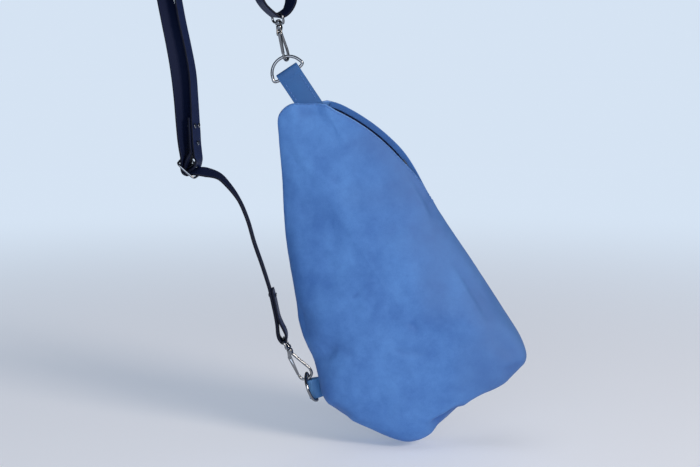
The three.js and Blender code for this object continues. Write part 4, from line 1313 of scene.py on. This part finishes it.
@dataclass
class FoldedTab:
    """A leather tab folded round a ring's bar, sewn through both layers."""

    name: str
    eye: Matrix  # X along the bar, Z away from the bag
    width: float
    leather: float
    tail: float
    rows: bool
    finish: NubuckLeather
    bore: float = 1.9
    slack: float = 0.0  # how far the fold stands above the bar

    def build(self) -> None:
        """Builds the folded leather and its stitching."""
        layer, round_bar = self.leather / 2 + 0.04, self.bore + self.leather / 2
        neck = -1.35 * (self.bore + self.leather)
        down = [(-layer, mix(-self.tail, neck, share)) for share in (0, 0.4, 0.8)]
        down += [(-1.3 * layer, neck), (-0.72 * round_bar, 0.62 * neck)]
        turn = [(round_bar * math.cos(math.radians(a)),
                 round_bar * math.sin(math.radians(a)) + (self.slack if 0 < a < 180 else 0))
                for a in (200, 162, 126, 90, 54, 18, -20)]
        line = [*down, *turn, *[(-y, z) for y, z in reversed(down)]]
        points = SmoothPath([Vector((0, y, z)) for y, z in line]).evenly(110)
        along = Vector((1, 0, 0))
        section, mark = strip_section(self.leather, self.width, min(0.6, self.leather * 0.3))
        bm = bmesh.new()
        sweep(bm, section, planar_frames(points, along), marks={"edge": mark})
        bmesh.ops.transform(bm, matrix=self.eye, verts=bm.verts)
        finish_piece(f"{self.name}_leather", bm, self.finish, "bag", [self.name])
        if self.rows:
            self._stitches()

    def _stitches(self) -> None:
        """Two rows beside the edges, on both faces."""
        bm = bmesh.new()
        face, inset, low = self.leather + 0.04, self.width / 2 - 3.4, -self.tail + 9.5
        for side in Side:
            for x in (-inset, inset):
                self._row(bm, (x, -6.5), (x, low), side, face)
        bmesh.ops.transform(bm, matrix=self.eye, verts=bm.verts)
        finish_piece(f"{self.name}_stitching", bm, THREAD, "bag")

    @staticmethod
    def _row(bm: bmesh.types.BMesh, start: tuple, end: tuple, side: Side, face: float) -> None:
        """One straight row on a face of the tab."""
        line = [Vector((x, side.value * face, z)) for x, z in (start, end)]
        stitch_row(bm, spaced(line, 40), lambda _: Vector((0, side.value, 0)))


@dataclass
class DRing:
    """A ring of round wire with a straight bar."""

    name: str
    body: str
    place: Matrix  # X along the bar, Z towards the curve
    radius: float
    wire: float = 1.6
    bar_drop: float = 0.8

    def build(self) -> None:
        """Builds the ring."""
        half = math.sqrt(self.radius ** 2 - self.bar_drop ** 2)
        start = math.atan2(-self.bar_drop, half)
        turns = [start + (math.pi - 2 * start) * (i + 0.35) / 10.7 for i in range(11)]
        knots = [Vector((share * half, 0, 0)) for share in (-0.75, 0, 0.75)]
        knots += [Vector((self.radius * math.cos(t), 0, self.bar_drop + self.radius * math.sin(t)))
                  for t in turns]
        points = SmoothPath(knots, closed=True).evenly(140)
        bm = bmesh.new()
        sweep(bm, circle(self.wire, 18), planar_frames(points, BACKWARDS, closed=True), closed=True)
        bmesh.ops.transform(bm, matrix=self.place, verts=bm.verts)
        finish_piece(f"{self.name}_metal", bm, NICKEL, self.body, [self.name])


@dataclass
class SnapHook:
    """A swivel hook: a bail for the strap, a cast body on its post, and a sprung gate on a pin."""

    name: str
    turn: float  # of the body about the swivel, from facing the front
    tilt: float  # of the swivel, to the left
    pitch: float = 0.0  # of the swivel, to the front
    twist: float = 0.0  # of the bail about the swivel
    wire: float = 1.5
    drop: float = 37.5
    reach: float = 9.4
    nose: float = 4.3
    seat: float = 2.5
    neck: float = 3.3
    neck_length: float = 6
    post: float = 1.7
    post_head: float = 2.7
    boss: float = 3.6
    boss_height: float = 3.4
    gate_drop: float = 8.5
    gate_half: float = 1.3
    cheek: float = 1.1
    gate_eye: float = 2.1
    pin: float = 0.7
    bail_wire: float = 1.3
    bail_rise: float = 11.5
    bail_half: float = 12.3
    voxel: float = 0.3

    def __post_init__(self) -> None:
        """Places the swivel, the hook on it, and the bar that the strap goes round."""
        at, _ = joint_place(f"{self.name}_swivel")
        self.swivel = (Matrix.Translation(at) @ Matrix.Rotation(self.pitch, 4, "X")
                       @ Matrix.Rotation(-self.tilt, 4, "Y") @ Matrix.Rotation(self.twist, 4, "Z"))
        self.hook = self.swivel @ Matrix.Rotation(self.turn - self.twist, 4, "Z")
        self.gate_x = -self.nose * 0.8
        self.bar = self.swivel @ Vector((0, 0, self.bail_rise))
        way = self.swivel.to_3x3() @ BACKWARDS
        self.lean = (way.x / way.y, way.z / way.y)

    def _body(self) -> bmesh.types.BMesh:
        """The hook, its neck and post, and the two cheeks that hold the gate's pin.

        Returns:
            The mesh, fused.
        """
        knots = [
            (0, -self.neck_length * 0.7), (self.reach * 0.3, -self.drop * 0.32),
            (self.reach * 0.68, -self.drop * 0.56), (self.reach, -self.drop * 0.79),
            (self.reach * 0.93, -self.drop * 0.93), (self.seat + 2.5, -self.drop),
            (self.seat - 2, -self.drop), (-self.nose * 0.85, -self.drop * 0.92),
            (-self.nose, -self.drop * 0.8)]
        points = SmoothPath([Vector((x, 0, z)) for x, z in knots]).evenly(90)
        bm = bmesh.new()
        sweep(bm, circle(self.wire, 16), planar_frames(points, BACKWARDS))
        post_top = self.boss_height + 2 * FIT
        turn_profile(bm, [
            (0, -self.neck_length), (self.neck * 0.7, -self.neck_length),
            (self.neck, -self.neck_length * 0.6), (self.neck, -1), (self.neck - 0.9, -0.1),
            (self.post, -0.05), (self.post, post_top), (self.post_head, post_top),
            (self.post_head, post_top + 0.8), (self.post_head * 0.6, post_top + 1.6),
            (0, post_top + 1.6)], Matrix.Identity(4))
        outer = [(0.0, -self.neck_length * 0.3), (-self.neck * 0.9, -self.neck_length * 0.4),
                 (self.gate_x - self.gate_eye, -self.gate_drop)]
        outer += [(self.gate_x + self.gate_eye * math.cos(math.radians(a)),
                   -self.gate_drop + self.gate_eye * math.sin(math.radians(a)))
                  for a in range(198, 325, 18)]
        for side in Side:
            near = side.value * (self.gate_half + FIT)
            far = near + side.value * self.cheek
            ring = [bm.verts.new((x, near, z)) for x, z in outer]
            face = bm.faces.new(ring)
            out = bmesh.ops.extrude_face_region(bm, geom=[face])["geom"]
            fresh = [g for g in out if isinstance(g, bmesh.types.BMVert)]
            bmesh.ops.translate(bm, vec=(0, far - near, 0), verts=fresh)
            faces = list({f for v in ring + fresh for f in v.link_faces})
            bmesh.ops.recalc_face_normals(bm, faces=faces)
        return fuse(bm, self.voxel, 4)

    def _bail(self) -> bmesh.types.BMesh:
        """The wire loop that holds the strap, on a bored boss.

        Returns:
            The mesh, fused.
        """
        low, corner = FIT + self.boss_height / 2, 3.0
        half, top = self.bail_half, self.bail_rise
        ring = (self.boss + self.post + FIT) / 2
        knots = [(ring, low), (half - corner, low), (half - corner * 0.3, low + corner * 0.3),
                 (half, low + corner), (half, top - corner),
                 (half - corner * 0.3, top - corner * 0.3), (half - corner, top), (0, top)]
        knots += [(-y, z) for y, z in reversed(knots[:-1])]
        points = SmoothPath([Vector((0, y, z)) for y, z in knots]).evenly(110)
        bm = bmesh.new()
        sweep(bm, circle(self.bail_wire, 14), planar_frames(points, Vector((1, 0, 0))))
        bore = self.post + FIT
        turn_profile(bm, [(bore, FIT), (self.boss, FIT), (self.boss, FIT + self.boss_height),
                          (bore, FIT + self.boss_height)], Matrix.Identity(4), closed=True)
        return fuse(bm, self.voxel, 3)

    def _pin(self) -> bmesh.types.BMesh:
        """The gate's pin, with a low dome at each end.

        Returns:
            The mesh.
        """
        end = self.gate_half + FIT + self.cheek
        bm = bmesh.new()
        place = Matrix.Translation((self.gate_x, 0, -self.gate_drop))
        place = place @ Matrix.Rotation(math.pi / 2, 4, "X")
        half = [(0, end + 0.45), (self.pin * 0.8, end + 0.38), (self.pin * 1.35, end + 0.12),
                (self.pin * 1.35, end), (self.pin, end - 0.05)]
        turn_profile(bm, [*half, *[(r, -z) for r, z in reversed(half)]], place, steps=20)
        return bm

    def build(self) -> None:
        """Builds the hook's four pieces."""
        for bm, node, body, place in (
            (self._bail(), f"{self.name}_hook_bail", "strap", self.swivel),
            (self._body(), f"{self.name}_hook_body", f"{self.name}_hook", self.hook),
            (self._pin(), f"{self.name}_gate_pin", f"{self.name}_hook", self.hook),
        ):
            bmesh.ops.transform(bm, matrix=place, verts=bm.verts)
            finish_piece(f"{node}_metal", bm, NICKEL, body, [node], sharp=60)
        gate = cad_copy(f"{self.name}_hook_gate")
        soften_edges(gate, 0.45)
        finish_piece(f"{self.name}_hook_gate_metal", gate, NICKEL, f"{self.name}_gate",
                     [f"{self.name}_hook_gate"], sharp=30)


# The strap


@dataclass(frozen=True)
class Stop:
    """A point of the strap's route, and the way to its far edge."""

    at: Vector
    far: Vector


@dataclass
class Strap:
    """The strap: riveted to the buckle, over the shoulder, round the top bail and back down."""

    top: SnapHook
    lower: SnapHook
    width: float = 20
    leather: float = 2.4
    bar_wire: float = 1.3
    pitch: float = 11.5
    slant: float = math.radians(41)
    buckle_out: float = 96.7
    buckle_rise: float = 181.6
    arch_rise: float = 180
    arch_left: float = 7
    layer_gap: float = 1.4
    bar_half: float = 12.3
    lean: tuple[float, float] = (0.3, 0.27)
    steps: int = 9

    def __post_init__(self) -> None:
        """Places the buckle's middle bar, and the strap's middle round a bar."""
        hang = self.lower.bar
        self.buckle = Vector((hang.x - self.buckle_out, -28, hang.z + self.buckle_rise))
        self.wrap = self.bar_wire + FIT + self.leather / 2

    @staticmethod
    def _beside(origin: Vector, places: Sequence[tuple]) -> list[Stop]:
        """Stops beside an origin, from right, up, and the far edge's lean to the right and up.

        Args:
            origin: What the places are measured from.
            places: Two to four numbers each; a lean not given is 0.
        Returns:
            The stops.
        """
        made = []
        for place in places:
            x, z, lean_x, lean_z = (*place, 0, 0)[:4]
            made.append(Stop(origin + Vector((x, 0, z)), Vector((lean_x, 1, lean_z))))
        return made

    @staticmethod
    def _square(origin: Vector, places: Sequence[tuple], lean: tuple[float, float]) -> list[Stop]:
        """Stops in the plane square to a leaning bar."""
        far = Vector((lean[0], 1, lean[1]))
        return [Stop(origin + Vector((x, -lean[0] * x - lean[1] * z, z)), far) for x, z in places]

    def _round(self, origin: Vector, radius: float, degrees: Sequence[float],
               lean: tuple[float, float] = (0, 0)) -> list[Stop]:
        """Stops round a bar."""
        places = [(radius * math.cos(t), radius * math.sin(t)) for t in map(math.radians, degrees)]
        return self._square(origin, places, lean)

    def _route(self) -> list[Stop]:
        """The strap's way from its fold on the buckle to its loop in the lower bail.

        Returns:
            Its stops.
        """
        beside, buckle, top, lower = self._beside, self.buckle, self.top.bar, self.lower.bar
        foot = (self.pitch * math.cos(self.slant),
                self.wrap + FIT - self.pitch * math.sin(self.slant))
        span = (top.x - buckle.x) / 2 + 15
        arch = (buckle + top) / 2
        arch.x -= self.arch_left
        arch.z = top.z + self.arch_rise

        def over(layers: float) -> list[tuple[float, float]]:
            """The arch over the shoulder, from left to right, that many millimetres further in.

            Args:
                layers: How far inside the outer layer.
            Returns:
                Places beside the top of the arch.
            """
            left = [(-span, -68), (-span * 0.72, -31), (-span * 0.4, -9), (0, 0)]
            left = [(x + layers if x else 0, z - layers) for x, z in left]
            return left + [(-x, z) for x, z in reversed(left[:-1])]

        fold = [
            *beside(buckle, [
                (2.7, 52, 0.3), (3.2, 41, 0.31), (3.7, 28, 0.31), (3.6, 17, 0.3, 0.12)]),
            *self._square(buckle, [(-0.4, 8.5)], self.lean),
            *self._round(buckle, self.wrap, (170, 215, 260, 305, 345), self.lean)]
        inner_run = [
            *self._square(buckle, [(6.4, 1.6)], self.lean),
            *beside(buckle, [
                (8.4, 7, 0.3, 0.16), (8, 14, 0.3, 0.06), (7, 25, 0.31), (6.5, 36, 0.32),
                (6, 46, 0.31), (5.1, 71, 0.27), (3.6, 97.4, 0.24), (-0.7, 123.7, 0.22),
                (-6.1, 150, 0.24), (-10.4, 176, 0.21), (-15, 205, 0.15), (-18.4, 236, 0.1)])]
        top_loop = [
            *beside(top, [(-4, 78), (-11.5, 57, -0.3), (-18.8, 38, -0.5), (-19.8, 22, -0.5),
                          (-13.6, 8.6, -0.5, 0.1)]),
            *self._round(top, self.wrap, (225, 270, 315), self.top.lean),
            *beside(top, [(10, 3, -0.5, 0.15), (14.6, 13, -0.7), (12.4, 32, -0.7), (5.8, 54, -0.4),
                          (2.6, 78, -0.1)])]
        outer_run = [
            *beside(buckle, [
                (-29, 236, 0.3), (-28.4, 205, 0.65), (-23.8, 176, 1.0), (-18.4, 150, 1.4),
                (-13.2, 123.7, 1.75), (-9.3, 97.4, 1.65), (-7.2, 71, 1.2), (-6.4, 45, 0.85),
                (-6, 27, 0.6, 0.08)]),
            *self._square(buckle, [(-5.4, 12)], self.lean),
            *self._round(buckle, self.wrap + self.leather + FIT, (185, 225, 270, 305), self.lean)]
        lower_run = [
            *self._square(buckle, [foot], self.lean),
            *beside(buckle, [
                (16.9, -5.4, 0.05, 0.36), (30, -9.6, 0.07, 0.17), (39.2, -18.5, 0.07, 0.07),
                (50.5, -34.2), (59.4, -55.2)]),
            *beside(lower, [
                (-30, 102.8), (-22, 79.1), (-14.7, 55.5), (-12.6, 47, 0.03), (-10.7, 38, 0.03),
                (-9, 30, 0.03), (-7.7, 23, 0.03), (-6.6, 15, 0.03), (-6.1, 8, 0.03), (-5, 2.5)])]
        lower_loop = [
            *self._round(lower, self.wrap, (215, 260, 300, 345)),
            *beside(lower, [(3, 5), (1.6, 9.5, 0.03), (-1.6, 16, 0.03), (-4.7, 23.5, 0.03),
                            (-6.3, 30.5, 0.03), (-7.8, 38, 0.03), (-9.7, 47, 0.03), (-11.4, 54)])]
        return [*fold, *inner_run, *beside(arch, over(self.leather + self.layer_gap)), *top_loop,
                *beside(arch, [(-x, z) for x, z in over(0)]), *outer_run, *lower_run, *lower_loop]

    def _frames(self) -> list[Matrix]:
        """Frames along the route: X across the strap, Y through it, Z along it.

        Returns:
            The frames.
        """
        stops = self._route()
        path = SmoothPath([stop.at for stop in stops])
        made = []
        for i in range(path.spans * self.steps + 1):
            share = i / (path.spans * self.steps)
            stop = min(i // self.steps, path.spans - 1)
            along = path.tangent(share)
            far = stops[stop].far.lerp(stops[stop + 1].far, i / self.steps - stop)
            across = (far - along * far.dot(along)).normalized()
            made.append(basis(path.point(share), across, along.cross(across), along))
        return made

    def _buckle(self) -> bmesh.types.BMesh:
        """Three bars in one frame of round wire.

        Returns:
            The mesh, fused.
        """
        bars = Vector((self.lean[0], 1, self.lean[1])).normalized()
        across = Vector((math.cos(self.slant), 0, -math.sin(self.slant)))
        across = (across - bars * across.dot(bars)).normalized()
        corner, a, b = 3.0, self.bar_half, self.pitch
        knots = []
        for sx, sy in ((1, -1), (1, 1), (-1, 1), (-1, -1)):
            bend = [(a - corner, b), (a - corner * 0.3, b - corner * 0.3), (a, b - corner)]
            turned = bend if sx * sy > 0 else bend[::-1]
            knots += [(sx * x, sy * y) for x, y in reversed(turned)]
        points = SmoothPath([bars * x + across * y for x, y in knots], closed=True).evenly(120)
        bm = bmesh.new()
        round_frame = planar_frames(points, bars.cross(across), closed=True)
        sweep(bm, circle(self.bar_wire, 14), round_frame, closed=True)
        middle = [bars * x for x in (-a, -a / 2, 0, a / 2, a)]
        sweep(bm, circle(self.bar_wire, 14), planar_frames(middle, across))
        bmesh.ops.translate(bm, vec=self.buckle, verts=bm.verts)
        return fuse(bm, 0.3, 3)

    def build(self) -> None:
        """Builds the strap, its buckle and its rivets."""
        section, mark = strip_section(self.width, self.leather, 0.7)
        bm = bmesh.new()
        flesh = [1.0 if y > 0 and not cut else 0.0 for (_, y), cut in zip(section, mark)]
        sweep(bm, section, self._frames(), marks={"edge": mark, "flesh": flesh})
        finish_piece("strap_leather", bm, STRAP_LEATHER, "strap", ["strap"])
        finish_piece("slide_buckle_metal", self._buckle(), NICKEL, "strap",
                     ["slide_buckle"], sharp=60)
        for node in ("buckle_rivet_left", "buckle_rivet_right", "buckle_rivet_low", "loop_rivet"):
            rivet = cad_copy(node)
            soften_edges(rivet, 0.2)
            piece = finish_piece(f"{node}_metal", rivet, NICKEL, "strap", [node],
                                 sharp=80)
            dome = piece.modifiers.new("dome", "SUBSURF")
            dome.levels = dome.render_levels = 1


# The studio


@dataclass
class Studio:
    """A pale sweep of paper, soft light from the front right, and the camera."""

    floor: float = -0.1675
    view_at: Vector = field(default_factory=lambda: Vector((-0.0395, -0.028, 0.0586)))
    distance: float = 1.5
    elevation: float = math.radians(7.5)
    lens: float = 73.5
    paper: str = "#d2d3d9"
    wall: str = "#d5e3f3"
    floor_radius: float = 2.5
    # the wall's rings, in shares of the floor's radius and metres above it
    wall_steps: tuple[tuple[float, float], ...] = ((1.3, 0.02), (1.55, 0.3), (1.6, 3.2))
    fade: tuple[float, float] = (0.4, 2.2)  # distances between which the paper starts to glow

    def _light(self, name: str, at: tuple, size: float, power: float, colour: str,
               mirrored: bool = False) -> None:
        """Adds a square soft light.

        Args:
            name: Its name.
            at: Its place in metres.
            size: Its side.
            power: In watts.
            colour: As sRGB hex.
            mirrored: Whether it shows in shiny surfaces.
        """
        lamp = bpy.data.lights.new(name, "AREA")
        lamp.size, lamp.energy, lamp.color = size, power, linear(colour)[:3]
        thing = bpy.data.objects.new(name, lamp)
        thing.location = at
        thing.visible_glossy, thing.visible_camera = mirrored, False
        thing.rotation_euler = (self.view_at - Vector(at)).to_track_quat("-Z", "Y").to_euler()
        bpy.context.scene.collection.objects.link(thing)

    def _sweep(self) -> None:
        """The paper: a floor that fades into a lit wall all round, clear of every view."""
        floor = bmesh.new()
        bmesh.ops.create_circle(floor, cap_ends=True, segments=128, radius=self.floor_radius)
        bmesh.ops.translate(floor, vec=(0, 0, self.floor), verts=floor.verts)
        self._stand("paper_floor", floor)
        wall = bmesh.new()
        bmesh.ops.create_circle(wall, segments=128, radius=self.floor_radius)
        bmesh.ops.translate(wall, vec=(0, 0, self.floor), verts=wall.verts)
        edges = list(wall.edges)
        before = (1.0, 0.0)
        for reach, rise in self.wall_steps:
            out = bmesh.ops.extrude_edge_only(wall, edges=edges)["geom"]
            fresh = {g for g in out if isinstance(g, bmesh.types.BMVert)}
            edges = [g for g in out if isinstance(g, bmesh.types.BMEdge) and set(g.verts) <= fresh]
            wider = reach / before[0]
            bmesh.ops.scale(wall, vec=(wider, wider, 1), verts=list(fresh))
            bmesh.ops.translate(wall, vec=(0, 0, rise - before[1]), verts=list(fresh))
            before = (reach, rise)
        bmesh.ops.recalc_face_normals(wall, faces=wall.faces)
        thing = self._stand("paper_wall", wall)
        thing.visible_diffuse = thing.visible_glossy = thing.visible_shadow = False

    def _stand(self, name: str, bm: bmesh.types.BMesh) -> bpy.types.Object:
        """Makes a mesh a piece of the paper.

        Args:
            name: Its name.
            bm: Its mesh, freed here.
        Returns:
            The object.
        """
        mesh = bpy.data.meshes.new(name)
        bm.to_mesh(mesh)
        bm.free()
        mesh.materials.append(self._paper_material())
        thing = bpy.data.objects.new(name, mesh)
        bpy.context.scene.collection.objects.link(thing)
        return thing

    def _paper_material(self) -> bpy.types.Material:
        """Matt paper that glows as painted light: faintly near the object, which lightens the floor
        and its shadows, and more and more with the distance from it.

        Returns:
            The material, the same one at each call.
        """
        found = bpy.data.materials.get("matt_paper")
        if found:
            return found
        paper = bpy.data.materials.new("matt_paper")
        paper.use_nodes = True
        tree = paper.node_tree
        shader = tree.nodes["Principled BSDF"]
        place = add_node(tree, "ShaderNodeTexCoord").outputs["Object"]
        away = add_node(tree, "ShaderNodeVectorMath", {0: place}, operation="LENGTH")
        glow = add_node(tree, "ShaderNodeMapRange", {
            "Value": away.outputs["Value"], "From Min": self.fade[0], "From Max": self.fade[1],
        }, interpolation_type="SMOOTHSTEP").outputs["Result"]
        # painted light: the glow's strength never falls below 0.3, which lightens the floor round
        # the object and the shadows on it
        lit = add_node(tree, "ShaderNodeMapRange", {"Value": glow, "To Min": 0.3}).outputs["Result"]
        tint = add_node(tree, "ShaderNodeMix", {
            0: glow, 6: linear(self.paper), 7: linear("#000000")}, data_type="RGBA").outputs[2]
        shader.inputs["Roughness"].default_value = 0.9
        shader.inputs["Specular IOR Level"].default_value = 0.1
        shader.inputs["Emission Color"].default_value = linear(self.wall)
        tree.links.new(tint, shader.inputs["Base Color"])
        tree.links.new(lit, shader.inputs["Emission Strength"])
        return paper

    def build(self) -> None:
        """Sets up paper, lights, world and camera."""
        self._sweep()
        self._light("key", (2.25, -2.35, 1.45), 1.1, 90, "#fff1e0", mirrored=True)
        self._light("fill", (-0.3, -2.7, 0.35), 1.8, 37, "#e2eeff", mirrored=True)
        self._light("rear", (0.7, 2.3, 1.5), 2.0, 14, "#eef3ff")
        self._light("top", (-0.2, -0.4, 2.3), 2.0, 14, "#f0f4ff")
        world = bpy.data.worlds.new("room")
        world.use_nodes = True
        sky = world.node_tree.nodes["Background"]
        sky.inputs["Color"].default_value = linear("#d3e3f7")
        sky.inputs["Strength"].default_value = 0.1
        bpy.context.scene.world = world
        lens = bpy.data.cameras.new("camera")
        lens.lens, lens.sensor_width = self.lens, 36
        eye = bpy.data.objects.new("camera", lens)
        back = Vector((0, -math.cos(self.elevation), math.sin(self.elevation)))
        eye.location = self.view_at + back * self.distance
        eye.rotation_euler = (-back).to_track_quat("-Z", "Y").to_euler()
        bpy.context.scene.collection.objects.link(eye)
        bpy.context.scene.camera = eye
        bpy.context.scene.view_settings.view_transform = "Standard"


def main() -> None:
    """Builds the backpack and its studio."""
    logging.basicConfig(level=logging.INFO, format="%(message)s")
    Studio().build()
    form = BodyForm()
    Panel(form, Side.FRONT, crown=40, taper=260, flat=0, rise=-4.0, folds=FRONT_FOLDS).build()
    Panel(form, Side.BACK, crown=28, taper=130, flat=0.4, rise=3.5, broad_wave=0.5,
          fine_wave=0.3).build()
    SeamBinding(form).build()
    Zip(form).build()
    top_bar, top_axis = joint_place("top_ring_turn")
    top_eye = basis(top_bar, top_axis, BACKWARDS, top_axis.cross(BACKWARDS))
    lower_bar, lower_axis = joint_place("lower_ring_turn")
    lower_ring = basis(lower_bar, lower_axis, BACKWARDS, lower_axis.cross(BACKWARDS))
    lower_eye = lower_ring @ Matrix.Rotation(LOWER_RING_CANT, 4, "Y")
    lower_eye = lower_eye @ Matrix.Translation((-LOWER_RING_SHIFT, 0, 0))
    FoldedTab("top_tab", top_eye, width=25, leather=1.8, tail=46, rows=True, finish=TAB_LEATHER,
              slack=2.4).build()
    FoldedTab("lower_tab", lower_eye, width=21, leather=2.2, tail=15.9, rows=False,
              finish=LOWER_TAB_LIGHTENED_LEATHER, bore=3.6).build()
    DRing("top_d_ring", "top_ring", top_eye, radius=17.4).build()
    DRing("lower_d_ring", "lower_ring", lower_ring @ Matrix.Rotation(LOWER_RING_TURN, 4, "X"),
          radius=15.5).build()
    top = SnapHook("top", turn=math.radians(74), tilt=math.radians(10.5), pitch=math.radians(10),
                   twist=math.radians(30))
    lower = SnapHook("lower", turn=0, tilt=math.radians(28))
    top.build()
    lower.build()
    Strap(top, lower).build()


if __name__ == "__main__":
    main()
